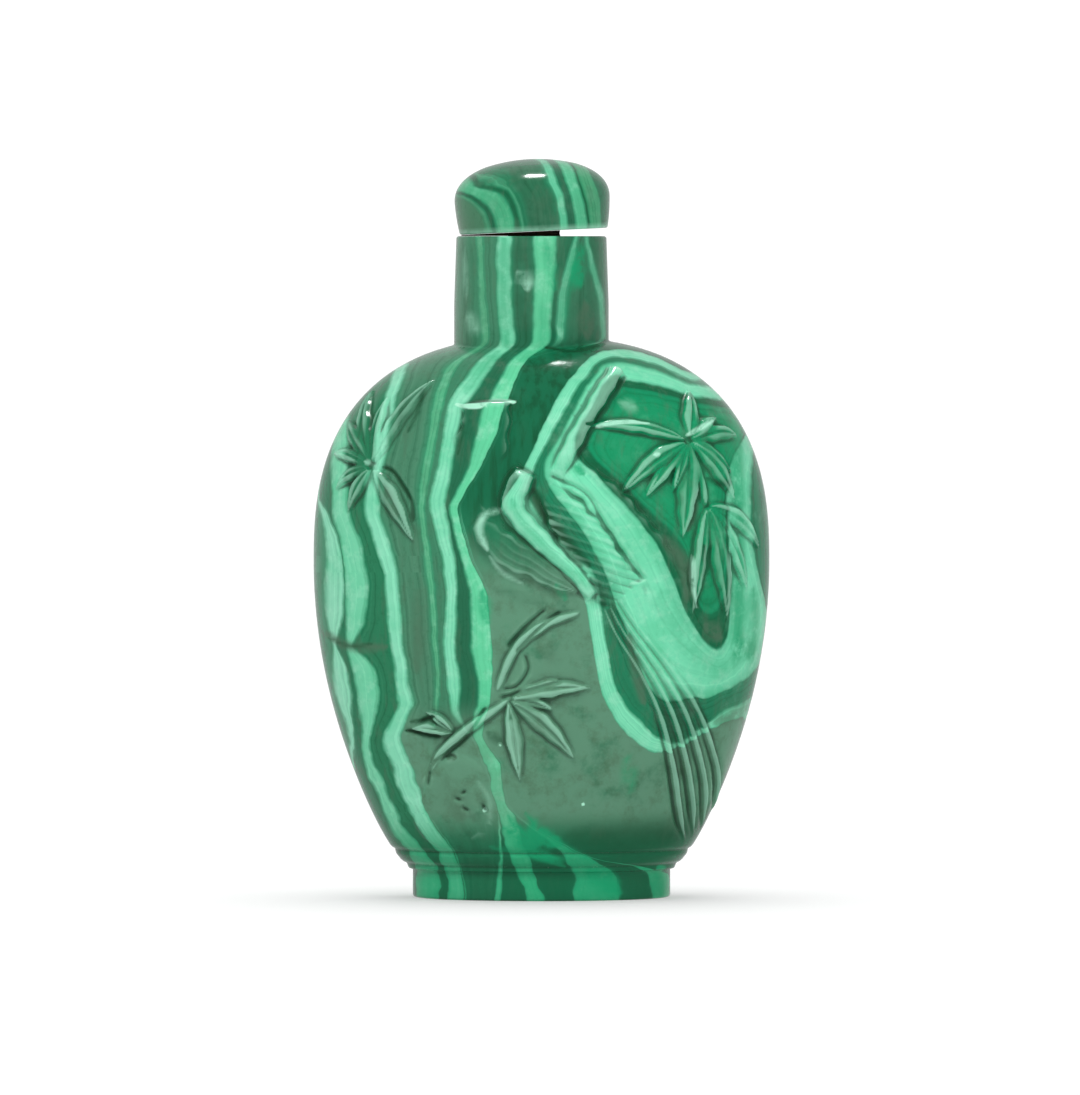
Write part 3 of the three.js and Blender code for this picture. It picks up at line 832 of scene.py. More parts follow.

# %% [markdown]
# ## Marks, and painted shade in the crevices
# Some marks on the stone don't follow its layers: bruises are pale, seams and cut lines are deep green,
# and here and there the stone is a clearer green or turns brown. Some pale marks are painted highlights on
# edges that face up, one deep mark is painted shade where the neck meets the shoulder, and one brown mark
# is a painted shadow beside a leaf. Each is a soft stroke with a strength, half its width and a path, in
# pixels. The carving is darkened along its cuts with painted shade and dust, and lightened on its ridges
# with a painted highlight and wear. All of these are soft, so they can be stored on the points as they are.

# %% Marks on the stone
# Pale marks: bruises and specks of the stone, and painted highlights where noted
PALE_MARKS = [
    (0.75, 12, [(518, 270), (523, 280), (527, 290)]),
    (0.35, 4, [(524, 307), (531, 309)]),
    (0.4, 14, [(467, 312), (472, 324), (478, 334)]),
    # Painted highlight along the stub's top edge, which faces up
    (1.3, 2.7, [(456, 404), (470, 408), (482, 408), (492, 402), (515, 402)]),
    # Painted highlight along the top edge of the leaf that lies level
    (1.1, 2.4, [(596, 427), (622, 423), (648, 424)]),
    # Painted highlight on the rounded rim of the left wing
    (0.55, 5.5, [(502, 510), (486, 514), (480, 529), (488, 550)]),
    (0.3, 5, [(476, 778), (489, 800), (488, 826), (470, 842)]),
    (0.35, 6, [(511, 720), (515, 745), (518, 765)]),
    (0.4, 4, [(490, 556), (502, 572), (524, 585)]),
    (0.35, 9, [(464, 250), (466, 296)]),
    # Painted highlight on the top edge of the bird's head
    (0.9, 3, [(517, 473), (529, 472)]),
    # Painted highlights on the lower end of the right wing, in this and the next two marks
    (0.4, 3, [(602, 585), (612, 583)]),
    (0.5, 3, [(630, 584), (645, 580)]),
    (0.35, 3, [(645, 593), (656, 592)]),
    # Painted highlight at the node of the upper right spray
    (0.9, 3, [(687, 435), (697, 430), (710, 422)]),
    # Painted highlight on the stalk's square top end
    (0.8, 3, [(612, 373), (620, 374)]),
    (0.6, 2.5, [(692, 555), (692, 588), (697, 608)]),
    # Painted highlight on the top edge of a leaf at its root
    (0.8, 3, [(652, 456), (658, 455)]),
    (0.35, 11, [(620, 402), (636, 408)]),
    (0.5, 4, [(366, 462), (374, 464)]),
    (1.2, 2.2, [(483, 810), (486, 811)]),
    (1.2, 2.2, [(499, 744), (501, 746)]),
    (1.0, 2, [(582, 804), (584, 805)]),
]
DEEP_MARKS = [
    (0.6, 3, [(328, 638), (350, 646), (372, 644)]),
    (0.6, 8, [(488, 733), (495, 738), (503, 744)]),
    (0.5, 26, [(570, 838), (640, 836), (706, 824)]),
    (0.4, 9, [(521, 240), (521, 290), (526, 340)]),
    # Painted shade in the crease where the neck meets the shoulder
    (0.9, 4.5, [(546, 348), (576, 351), (606, 343)]),
    (0.7, 8, [(590, 578), (600, 592), (604, 606)]),
    (0.8, 8, [(534, 490), (547, 517), (566, 541), (588, 566)]),
    (0.45, 9, [(498, 590), (520, 597), (545, 602)]),
    (0.8, 3, [(410, 722), (424, 720), (437, 715)]),
    (0.9, 3, [(405, 731), (420, 733), (440, 737)]),
    (0.8, 3, [(382, 467), (392, 471), (402, 485), (410, 499)]),
    (0.7, 4, [(424, 390), (418, 410), (408, 432)]),
    (0.5, 6, [(412, 395), (405, 412), (398, 428)]),
    (0.8, 4, [(702, 545), (703, 565), (701, 582)]),
    (0.7, 5, [(707, 478), (720, 484), (732, 482)]),
    (0.6, 4, [(620, 495), (632, 500), (645, 512)]),
    (0.6, 3, [(463, 412), (464, 430), (458, 455)]),
]
BRIGHT_MARKS = [
    (0.8, 13, [(581, 248), (579, 266), (580, 284)]),
    (0.45, 6, [(574, 272), (567, 300), (563, 330)]),
    (0.6, 8, [(545, 240), (550, 262), (555, 290)]),
    (0.55, 12, [(504, 236), (504, 300), (507, 346)]),
    (0.5, 12, [(497, 352), (485, 366), (466, 392)]),
    (0.45, 10, [(542, 300), (541, 344), (520, 362)]),
    (0.6, 6, [(508, 815), (520, 840), (538, 854), (565, 868)]),
    (0.6, 6, [(526, 812), (541, 834), (562, 846), (596, 864)]),
    (0.5, 6, [(490, 847), (530, 856), (566, 860)]),
    (0.7, 9, [(482, 592), (487, 622)]),
    (0.6, 11, [(628, 760), (631, 790)]),
    (0.7, 13, [(505, 830), (530, 838), (556, 842)]),
    (0.7, 17, [(736, 400), (738, 520), (738, 650)]),
    (0.6, 16, [(754, 590), (756, 620), (752, 660)]),
    (0.45, 22, [(660, 590), (690, 645), (722, 668), (752, 650)]),
    (0.5, 7, [(513, 500), (523, 522), (548, 548), (572, 572), (590, 592)]),
    (1.0, 13, [(590, 872), (606, 882), (618, 893)]),
    (1.0, 9, [(659, 868), (662, 895)]),
    (0.8, 6, [(574, 464), (583, 475)]),
    (0.6, 6, [(556, 584), (566, 600)]),
]
BROWN_MARKS = [
    (0.8, 7, [(322, 632), (352, 647), (386, 647)]),
    (0.7, 13, [(716, 722), (738, 713), (762, 700)]),
    (1.0, 13, [(585, 306), (588, 336)]),
    (0.8, 11, [(663, 538), (684, 566), (686, 600)]),
    (1.0, 12, [(706, 626), (720, 638)]),
    # Painted shadow on the right of the hanging leaf, in brown
    (0.7, 7, [(697, 490), (694, 512), (688, 530)]),
    (0.7, 9, [(389, 488), (398, 516)]),
    (0.6, 14, [(421, 590), (417, 670)]),
    (0.6, 18, [(450, 778), (462, 818)]),
    (1.0, 4, [(446, 757), (456, 758)]),
    (0.8, 8, [(629, 636), (644, 704)]),
    (0.5, 16, [(538, 640), (560, 664)]),
    (0.7, 8, [(533, 498), (560, 540), (580, 566)]),
]
CREVICE_REACH = 3
CREVICE_SCALE = 0.1


def painted(marks):
    """Strength of a set of soft strokes at each point of the skin."""
    field = np.zeros(len(skin))
    for strength, half_pixels, pixels in marks:
        half = half_pixels / PIXELS_PER_MM
        index, along, across, length = measure(on_body(smooth_path(spots(*pixels))), 3 * half)
        past_end = np.maximum(np.maximum(-along, along - length), 0)
        share = np.clip(along / length, 0, 1)
        taper = 0.4 + 1.2 * np.sqrt(share * (1 - share))
        field[index] += strength * np.exp(-(across**2 + past_end**2) / (half * taper) ** 2)
    return field


def blur(field, width):
    taps = gauss_taps(width)
    for axis, mode in ((0, "edge"), (1, "wrap")):
        pad = [(0, 0), (0, 0)]
        pad[axis] = (3 * width, 3 * width)
        padded = np.pad(field, pad, mode=mode)
        size = field.shape[axis]
        field = sum(tap * np.take(padded, range(k, k + size), axis=axis) for k, tap in enumerate(taps))
    return field


# Pale marks hold painted highlights and deep marks painted shade, besides bruises, specks and seams
stain = painted(PALE_MARKS) - painted(DEEP_MARKS)
tint = painted(BRIGHT_MARKS) - painted(BROWN_MARKS)
body_shape = sheet[outside].shape[:2]
relief_map = relief.reshape(body_shape)
# Painted shade and dust in the hollows of the carving, painted highlight and wear on its ridges: how far the
# relief lies below its blurred self
hollow_shading = (blur(relief_map, CREVICE_REACH) - relief_map) / CREVICE_SCALE
print("crevices from", hollow_shading.min().round(2), "to", hollow_shading.max().round(2))

# %% [markdown]
# ## From sheet to mesh
# The sheet has over half a million points, far more than the plain parts need. Blocks of it are split
# into quarters only where a flat patch would miss the carving or a mark, so the leaves get small faces
# and the plain stone large ones. A large face next to small ones takes their corners into its own
# outline, so no crack opens.

# %% Split the sheet where it needs it
TOLERANCE = 0.0155
MARK_WEIGHT = 0.06


def whole_sheet(field):
    """A field of the body's rows, as a field of the whole sheet."""
    whole = np.zeros(sheet.shape[:2])
    whole[outside] = field.reshape(body_shape)
    return whole


def patch_error(grid, size):
    """For each block, how far its points lie from the patch through its corners."""
    rows = (grid.shape[0] - 1) // size
    columns = (grid.shape[1] - 1) // size

    def pick(down, right):
        return grid[down::size, right::size][:rows, :columns]

    worst = np.zeros((rows, columns))
    for down in range(size + 1):
        for right in range(size + 1):
            v = down / size
            u = right / size
            top = pick(0, 0) * (1 - u) + pick(0, size) * u
            bottom = pick(size, 0) * (1 - u) + pick(size, size) * u
            error = np.linalg.norm(pick(down, right) - top * (1 - v) - bottom * v, axis=2)
            np.maximum(worst, error, out=worst)
    return worst


def split_blocks(grid):
    """Blocks as rows of (row, column, size), from large to single squares."""
    found = []
    active = np.ones(((grid.shape[0] - 1) // BLOCK, (grid.shape[1] - 1) // BLOCK), bool)
    size = BLOCK
    while size > 1:
        split = active & (patch_error(grid, size) > TOLERANCE)
        rows, columns = np.nonzero(active & ~split)
        found.append(np.stack([rows * size, columns * size, np.full(len(rows), size)], axis=1))
        active = split.repeat(2, axis=0).repeat(2, axis=1)
        size //= 2
    rows, columns = np.nonzero(active)
    found.append(np.stack([rows, columns, np.ones(len(rows), int)], axis=1))
    return np.concatenate(found)


def block_outline(row, column, size, used):
    """The used points round a block, in order."""
    steps = range(size)
    ring = [(row, column + k) for k in steps] + [(row + k, column + size) for k in steps]
    ring += [(row + size, column + size - k) for k in steps] + [(row + size - k, column) for k in steps]
    return [(r, c % COLUMNS) for r, c in ring if used[r, c % COLUMNS]]


def weave(blocks):
    """Numbers the used points and lists each block's face. The first and last rows are single points."""
    used = np.zeros(sheet.shape[:2], bool)
    for down in (0, 1):
        for right in (0, 1):
            rows = blocks[:, 0] + down * blocks[:, 2]
            used[rows, (blocks[:, 1] + right * blocks[:, 2]) % COLUMNS] = True
    used[[0, -1], 1:] = False
    number = np.cumsum(used).reshape(used.shape) - 1
    number[0] = number[0, 0]
    number[-1] = number[-1, 0]
    touched = used.copy()
    touched[[0, -1]] = True
    faces = []
    for row, column, size in blocks.tolist():
        outline = block_outline(row, column, size, touched)
        face = list(dict.fromkeys(number[r, c] for r, c in outline))
        if len(face) > 2:
            faces.append(face)
    return used, faces


shape = sheet.copy()
shape[outside] += normals[outside] * relief_map[..., None]
stain_and_painted_light_sheet = whole_sheet(stain)
tint_sheet = whole_sheet(tint)
marks = MARK_WEIGHT * np.stack([stain_and_painted_light_sheet, tint_sheet], axis=2)
guide = np.concatenate([shape, marks], axis=2)
guide = np.concatenate([guide, guide[:, :1]], axis=1)
blocks = split_blocks(guide)
used, faces = weave(blocks)
print("points:", used.sum(), "faces:", len(faces), "triangles:", sum(len(face) - 2 for face in faces))

# %% [markdown]
# ## The bottle as a Blender object
# The points go into a mesh in metres, with their places on the face and the marks as named attributes
# that the shader can read.

# %% Make the bottle


def make_piece(name, points, faces, fields, node):
    """A smooth mesh object with named values on its points, which stands for a solid of the frame."""
    mesh = bpy.data.meshes.new(name)
    mesh.from_pydata((points * MM).tolist(), [], faces)
    for field_name, values in fields.items():
        attribute = mesh.attributes.new(field_name, "FLOAT", "POINT")
        attribute.data.foreach_set("value", np.ascontiguousarray(values, np.float32))
    mesh.polygons.foreach_set("use_smooth", np.ones(len(mesh.polygons), bool))
    mesh.update()
    piece = bpy.data.objects.new(name, mesh)
    bpy.context.collection.objects.link(piece)
    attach(piece, "root")
    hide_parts(node)
    return piece


bottle = make_piece(
    "carved_bottle",
    shape[used],
    faces,
    {
        "across": drifted[used],
        "height": flat[used, 1],
        "stain": stain_and_painted_light_sheet[used],
        "tint": tint_sheet[used],
        "crevice": whole_sheet(hollow_shading)[used],
    },
    "bottle",
)
print("bottle size, mm:", [round(v / MM, 1) for v in bottle.dimensions])

# %% [markdown]
# ## Stopper cap
# The cap is a turned dome of the same stone, a little wider at its middle than at its underside, and it
# sits tilted on the neck. Its layers are sheets that lean back and bend, so on the dome they sweep to
# the left.

# %% Cap
CAP_BASE_RADIUS = 6.62
CAP_RADIUS = 6.93
CAP_HEIGHT = 6.45
CAP_WAIST_HEIGHT = 2.9
CAP_CROWN_HEIGHT = 5.9
CAP_CROWN_RADIUS = 4
CAP_LIFT = 0.43
CAP_SHIFT = 0.2
CAP_TILT = -2.7
CAP_EDGE = 0.12
TURN_COLUMNS = 144
CAP_EDGES = [482, 487, 494, 512, 518, 521, 558, 565.5, 573, 584, 587, 600]
CAP_LEAN = 0.2
CAP_BENDS = ([-5.5, -3, 3], [0.21, 0.08, 0.05])
CAP_BEND_START = 0.5
CAP_BEND_LIMIT = 3.7
CAP_SHOULDER_RISE = 1.6
CAP_CROWN_SPREAD = 1.5
CAP_CROWN_DROP = 0.5
CAP_WALL_INSET = 0.05
CAP_UNDERSIDE_RADIUS = 3
CAP_STEPS = 12
CAP_SHOULDER_STEPS = 18
WEAR_HEIGHTS = (0.5, 0.1)
WEAR_RADII = (6, 6.4)


def bezier(points, count):
    """Points along a curve with two ends and one or two handles, without its first point."""
    points = np.asarray(points, float)
    share = np.linspace(0, 1, count + 1)[1:]
    degree = len(points) - 1
    weights = [math.comb(degree, k) * share**k * (1 - share) ** (degree - k) for k in range(degree + 1)]
    return np.array(weights).T @ points


def turn_profile(profile):
    """A closed turned form about the upright axis, from a profile that starts and ends on it."""
    angle = np.linspace(0, 2 * np.pi, TURN_COLUMNS, endpoint=False)
    inner = np.asarray(profile[1:-1], float)
    x = np.outer(inner[:, 0], np.sin(angle))
    y = -np.outer(inner[:, 0], np.cos(angle))
    z = np.outer(inner[:, 1], np.ones(TURN_COLUMNS))
    rings_of_points = np.stack([x, y, z], axis=2).reshape(-1, 3)
    points = np.concatenate([[(0, 0, profile[0][1])], rings_of_points, [(0, 0, profile[-1][1])]])
    last = len(points) - 1

    def at(row, column):
        return 1 + row * TURN_COLUMNS + column % TURN_COLUMNS

    faces = []
    for column in range(TURN_COLUMNS):
        faces.append([at(0, column), at(0, column + 1), 0])
        for row in range(len(inner) - 1):
            faces.append([at(row, column), at(row, column + 1), at(row + 1, column + 1), at(row + 1, column)])
        faces.append([at(len(inner) - 1, column), at(len(inner) - 1, column + 1), last])
    return points, faces


def seat(points):
    """Tilts the stopper and sets it on the neck."""
    tilt = math.radians(CAP_TILT)
    x = points[:, 0] * math.cos(tilt) + points[:, 2] * math.sin(tilt)
    z = -points[:, 0] * math.sin(tilt) + points[:, 2] * math.cos(tilt)
    return np.stack([x + NECK_OFFSET + CAP_SHIFT, points[:, 1], z + RIM_HEIGHT + CAP_LIFT], axis=1)


def cap_profile():
    shoulder = [
        (CAP_RADIUS, CAP_WAIST_HEIGHT),
        (CAP_RADIUS, CAP_WAIST_HEIGHT + CAP_SHOULDER_RISE),
        (CAP_CROWN_RADIUS + CAP_CROWN_SPREAD, CAP_CROWN_HEIGHT - CAP_CROWN_DROP),
        (CAP_CROWN_RADIUS, CAP_CROWN_HEIGHT),
    ]
    crown = [(CAP_CROWN_RADIUS, CAP_CROWN_HEIGHT), (CAP_CROWN_RADIUS / 2, CAP_HEIGHT), (0, CAP_HEIGHT)]
    edge = (CAP_BASE_RADIUS, CAP_EDGE)
    handle = (CAP_RADIUS - CAP_WALL_INSET, CAP_WAIST_HEIGHT / 2)
    wall = [edge, handle, (CAP_RADIUS, CAP_WAIST_HEIGHT)]
    underside = [(0, 0), (CAP_UNDERSIDE_RADIUS, 0), (CAP_BASE_RADIUS - CAP_EDGE, 0), edge]
    dome = [*bezier(shoulder, CAP_SHOULDER_STEPS), *bezier(crown, CAP_STEPS)]
    return [*underside, *bezier(wall, CAP_STEPS), *dome]


def cap_position(across, y, z):
    """Place across the leaning sheets, which bend to the left as they rise, more on the left."""
    rise = np.clip(z - CAP_BEND_START, 0, CAP_BEND_LIMIT)
    return across + CAP_LEAN * (y + CAP_RADIUS) + np.interp(across, *CAP_BENDS) * rise**2


def cap_edge(pixel):
    """The sheet that is seen at a pixel across the cap's front wall."""
    across = spot(pixel, 0)[0]
    front = -math.sqrt(CAP_RADIUS**2 - (across - NECK_OFFSET) ** 2)
    return cap_position(across, front, CAP_WAIST_HEIGHT / 2)


def cap_wear(points):
    """One along the lower edge, where the polish has worn pale."""
    radius = np.hypot(points[:, 0], points[:, 1])
    return smooth_step(*WEAR_HEIGHTS, points[:, 2]) * smooth_step(*WEAR_RADII, radius)


cap_points, cap_faces = turn_profile(cap_profile())
cap_across = cap_position(cap_points[:, 0] + NECK_OFFSET, cap_points[:, 1], cap_points[:, 2])
cap_edges = [cap_edge(pixel) for pixel in CAP_EDGES]
cap = make_piece(
    "stopper_dome",
    seat(cap_points),
    cap_faces,
    {"across": cap_across, "wear": cap_wear(cap_points)},
    "stopper_cap",
)
print("cap size, mm:", [round(v / MM, 1) for v in cap.dimensions])

# %% [markdown]
# ## Cork
# Only the cork's dark upper edge shows, in the gap under the cap. It is turned like the cap, and then
# pitted by pushing its wall in a little here and there, as a cut cork is. A dark wedge in the same finish
# stands in for the shadow in the narrow side of the gap.

# %% Cork plug
CORK_PEG_RADIUS = 2.35
CORK_PEG_LENGTH = 0.75
CORK_RADIUS = 3
CORK_END_RADIUS = 2.75
CORK_LENGTH = 7
CORK_CHAMFER = 0.4
CORK_GAP = 0.02
CORK_PITS = 0.04
CORK_STEPS = 10
PIT_SEED = 5
PIT_FROM_RADIUS = 1
# Place and size of the dark wedge that stands in for shadow in the gap
WEDGE_MIDDLE = -2
WEDGE_RADIUS = 4.35


def cork_profile():
    corners = [
        (0, -CORK_LENGTH),
        (CORK_END_RADIUS - CORK_CHAMFER, -CORK_LENGTH),
        (CORK_END_RADIUS, CORK_CHAMFER - CORK_LENGTH),
        (CORK_RADIUS, -CORK_PEG_LENGTH - CORK_CHAMFER),
        (CORK_PEG_RADIUS, -CORK_PEG_LENGTH),
        (CORK_PEG_RADIUS, -CORK_GAP),
        (0, -CORK_GAP),
    ]
    wall = np.array(corners[1:-1])
    steps = np.arange(CORK_STEPS)[:, None]
    stretches = [start + (end - start) * steps / CORK_STEPS for start, end in zip(wall, wall[1:])]
    return [corners[0], *np.concatenate(stretches), *corners[-2:]]


def pit(points):
    rough = np.random.default_rng(PIT_SEED).random(len(points))
    radius = np.hypot(points[:, 0], points[:, 1])
    pull = 1 - CORK_PITS * rough * (radius > PIT_FROM_RADIUS)
    return points * np.stack([pull, pull, np.ones_like(pull)], axis=1)


def shadow_wedge(first):
    """A dark wedge in the cork's finish that stands in for shadow in the narrow side of the gap: a flat sheet
    between the rim and the cap.
    """
    angle = np.linspace(0, 2 * np.pi, TURN_COLUMNS, endpoint=False)
    x = WEDGE_MIDDLE + WEDGE_RADIUS * np.cos(angle)
    y = WEDGE_RADIUS * np.sin(angle)
    low = np.stack([x + NECK_OFFSET, y, np.full_like(x, RIM_HEIGHT + CORK_GAP)], axis=1)
    high = seat(np.stack([x, y, np.full_like(x, -CORK_GAP)], axis=1))
    turn = [(k, (k + 1) % TURN_COLUMNS) for k in range(TURN_COLUMNS)]
    faces = [[first + a, first + b, first + TURN_COLUMNS + b, first + TURN_COLUMNS + a] for a, b in turn]
    faces.append([first + k for k in reversed(range(TURN_COLUMNS))])
    faces.append([first + TURN_COLUMNS + k for k in range(TURN_COLUMNS)])
    return np.concatenate([low, high]), faces


cork_points, cork_faces = turn_profile(cork_profile())
# The wedge is painted shadow: a dark sheet where the gap is in shade
edge_points, edge_faces = shadow_wedge(len(cork_points))
cork_points = np.concatenate([seat(pit(cork_points)), edge_points])
cork = make_piece("cork_plug_and_shadow_wedge", cork_points, cork_faces + edge_faces, {}, "stopper_cork")
print("cork size, mm:", [round(v / MM, 1) for v in cork.dimensions])

# %% [markdown]
# ## Shader sums
# A shader is a graph of nodes, but a formula is easier to read. The small class below wraps a node's
# output so that plain sums in Python add Math nodes, and one method makes every other kind of node.

# %% Nodes from Python


class Value:
    """A node's output as a number in a sum."""

    def __init__(self, shader, socket):
        self.shader = shader
        self.socket = socket

    def __add__(self, other):
        return self.shader.math("ADD", self, other)

    def __radd__(self, other):
        return self.shader.math("ADD", other, self)

    def __sub__(self, other):
        return self.shader.math("SUBTRACT", self, other)

    def __rsub__(self, other):
        return self.shader.math("SUBTRACT", other, self)

    def __mul__(self, other):
        return self.shader.math("MULTIPLY", self, other)

    def __rmul__(self, other):
        return self.shader.math("MULTIPLY", other, self)

    def __truediv__(self, other):
        return self.shader.math("DIVIDE", self, other)

    def __rtruediv__(self, other):
        return self.shader.math("DIVIDE", other, self)

    def between(self, low, high):
        """Nought below low, one above high, and smooth between."""
        settings = {"interpolation_type": "SMOOTHSTEP"}
        inputs = {"Value": self, "From Min": low, "From Max": high}
        return Value(self.shader, self.shader.node("MapRange", settings, inputs).outputs[0])

    def ramp(self, low, high):
        """Nought below low, one above high, and steady between."""
        inputs = {"Value": self, "From Min": low, "From Max": high}
        return Value(self.shader, self.shader.node("MapRange", {}, inputs).outputs[0])


class Shader:
    """The node tree of a material or of the world."""

    def __init__(self, owner):
        owner.use_nodes = True
        self.owner = owner
        self.tree = owner.node_tree
        self.tree.nodes.clear()

    def node(self, kind, settings, inputs):
        """Adds a node: its settings first, then values or links for its sockets."""
        node = self.tree.nodes.new("ShaderNode" + kind)
        for name, value in settings.items():
            if name == "stops":
                self.set_stops(node.color_ramp, value)
            elif name == "line":
                self.set_line(node.mapping, value)
            else:
                setattr(node, name, value)
        for name, value in inputs.items():
            if isinstance(value, Value):
                value = value.socket
            if isinstance(value, bpy.types.NodeSocket):
                self.tree.links.new(value, node.inputs[name])
            else:
                node.inputs[name].default_value = value
        return node

    def set_stops(self, ramp, colours):
        """Spreads colours evenly along a ramp."""
        while len(ramp.elements) < len(colours):
            ramp.elements.new(1)
        for k, (element, colour) in enumerate(zip(ramp.elements, colours)):
            element.position = k / (len(colours) - 1)
            element.color = colour

    def set_line(self, mapping, heights):
        """Draws a curve through heights at even steps, straight from each to the next."""
        points = mapping.curves[0].points
        points[0].location = (0, heights[0])
        points[1].location = (1, heights[-1])
        for k, height in enumerate(heights[1:-1], 1):
            points.new(k / (len(heights) - 1), height)
        for point in points:
            point.handle_type = "VECTOR"
        mapping.update()

    def curve(self, value, heights):
        """A number read off a line, for a value from nought to one."""
        return Value(self, self.node("FloatCurve", {"line": heights}, {"Value": value}).outputs[0])

    def math(self, operation, *values):
        node = self.node("Math", {"operation": operation}, dict(enumerate(values)))
        return Value(self, node.outputs[0])

    def field(self, name):
        """A named value stored on the points of the mesh."""
        node = self.node("Attribute", {"attribute_name": name}, {})
        return Value(self, node.outputs["Fac"])

    def noise(self, scale, detail=3, roughness=0.55, stretch=(1, 1, 1)):
        """Noise in the object's own space, at so many waves a metre."""
        place = self.node("TexCoord", {}, {}).outputs["Object"]
        place = self.node("VectorMath", {"operation": "MULTIPLY"}, {0: place, 1: stretch}).outputs[0]
        inputs = {"Vector": place, "Scale": scale, "Detail": detail, "Roughness": roughness}
        return Value(self, self.node("TexNoise", {}, inputs).outputs["Fac"])

    def lines(self, value, detail=2):
        """Noise along one number, for lines that follow a layer."""
        settings = {"noise_dimensions": "1D"}
        inputs = {"W": value, "Scale": 1, "Detail": detail, "Roughness": 0.6}
        return Value(self, self.node("TexNoise", settings, inputs).outputs["Fac"])

    def blend(self, share, one, other, how="MIX"):
        settings = {"data_type": "RGBA", "blend_type": how, "clamp_factor": True}
        return self.node("Mix", settings, {0: share, 6: one, 7: other}).outputs[2]

    def brightness(self, colour):
        return Value(self, self.node("RGBToBW", {}, {"Color": colour}).outputs[0])

    def bump(self, height, strength):
        """A normal from a height in metres."""
        return self.node("Bump", {}, {"Strength": strength, "Distance": 1.0, "Height": height}).outputs[0]

    def finish(self, inputs):
        surface = self.node("BsdfPrincipled", {}, inputs).outputs[0]
        self.node("OutputMaterial", {}, {"Surface": surface})
        return self.owner


def new_shader(name):
    return Shader(bpy.data.materials.new(name))


print("shader tools ready")

# %% [markdown]
# ## Malachite
# Polished malachite is a soft stone with a silky, not quite glassy shine. The edges are read off curves,
# and the number of edges passed picks a band's green from a ramp. A second number grows steadily from
# each edge to the next, and noise along it draws the fine growth lines. A clear green fringe runs along
# each edge, light bands are flecked with white, and dark ones are streaked with brown. Low on the front
# the bands are lost in grey, and by the foot they turn a clearer green.

# %% Malachite colours
SHEEN = 0.014
DARKEST = 0.003


def green(red, grn, blue):
    """A colour read in the photograph, as linear light without the white sheen on the polish."""
    channels = [channel / 255 for channel in (red, grn, blue)]
    linear = [((channel + 0.055) / 1.055) ** 2.4 for channel in channels]
    return (*[max(channel - SHEEN, DARKEST) for channel in linear], 1)


BODY_GREENS = [
    green(72, 135, 104),
    green(136, 212, 178),
    green(50, 120, 88),
    green(116, 204, 164),
    green(50, 122, 88),
    green(130, 212, 176),
    green(76, 130, 102),
    green(84, 165, 124),
    green(66, 128, 98),
    green(124, 210, 172),
    green(46, 106, 78),
    green(98, 200, 152),
    green(36, 104, 74),
    green(84, 176, 136),
    green(54, 112, 84),
    green(84, 176, 136),
    green(52, 108, 80),
]
RING_GREENS = [
    green(20, 144, 98),
    green(24, 102, 70),
    green(116, 214, 172),
    green(42, 122, 88),
    green(122, 214, 174),
    green(60, 116, 86),
]
CAP_GREENS = [
    green(94, 122, 100),
    green(72, 150, 112),
    green(42, 104, 76),
    green(74, 168, 124),
    green(36, 100, 70),
    green(70, 150, 112),
    green(52, 108, 80),
    green(96, 188, 148),
    green(45, 105, 78),
    green(86, 182, 138),
    green(35, 98, 68),
    green(72, 158, 114),
    green(66, 120, 94),
]
DEEP = green(16, 68, 46)
PALE = green(168, 228, 200)
BRIGHT = green(36, 156, 108)
EARTH = green(80, 112, 90)
ASHEN = green(98, 144, 118)
NECK_ASH = 0.15
BROWN = green(70, 84, 62)
SHADED = green(32, 102, 72)
FRINGE = green(34, 136, 96)
CLEAR = green(80, 190, 142)
DARKER = (0.45, 0.62, 0.56, 1)
LIGHTER = (1.5, 1.25, 1.32, 1)
SPAN = 50
EDGE_SOFT = 0.19
WOBBLE = 0.16
DRIFT = 0.6
LOOSE = 1.3
LINE_STEP = 3
BODY_RATE = 5
RING_RATE = 8
CAP_RATE = 6
UPRIGHT = (1, 1, 0.22)
STEEP = (1, 1, 0.12)
# Edges passed, from where a change starts to where it is whole
PAST_FIRST = (5.4, 6)
INTO_THIRD = (10, 10.6)
PAST_THIRD = (11.4, 12)
OUTSIDE_RINGS = (4.3, 4.7)
# Heights in millimetres, from where a change starts to where it is whole
FOOT_GREEN = (3.5, 8)
ASH_START = (4.5, 8)
ASH_TOP = (27, 33)
ROCK_TOP = (14, 18)
FIELD_START = (32, 36)
FIELD_TOP = (49, 50.2)
NECK_START = (50, 51.5)
LOOSE_TOP = (10, 24)
# Strengths of marks and cuts, from where they start to show to where they are whole
TINT_SOFT = (0.15, 0.85)
CUT_SOFT = (0.3, 1.8)
# Roughness of the polish, and the height of its waves in metres
POLISH_ROUGHNESS = 0.08
SCRATCH_ROUGHNESS = 0.16
CUT_ROUGHNESS = 0.3
SKIN_WAVES = 0.00002


def stacked(position, lines):
    """How many lines a position has passed, and the same as a steady growth from each to the next."""
    passed = 0.0
    growth = position.ramp(0, lines[0])
    for line, after in zip(lines, [*lines[1:], 1]):
        passed = passed + (position - line).between(-EDGE_SOFT / SPAN, EDGE_SOFT / SPAN)
        growth = growth + position.ramp(line, after)
    return passed, growth


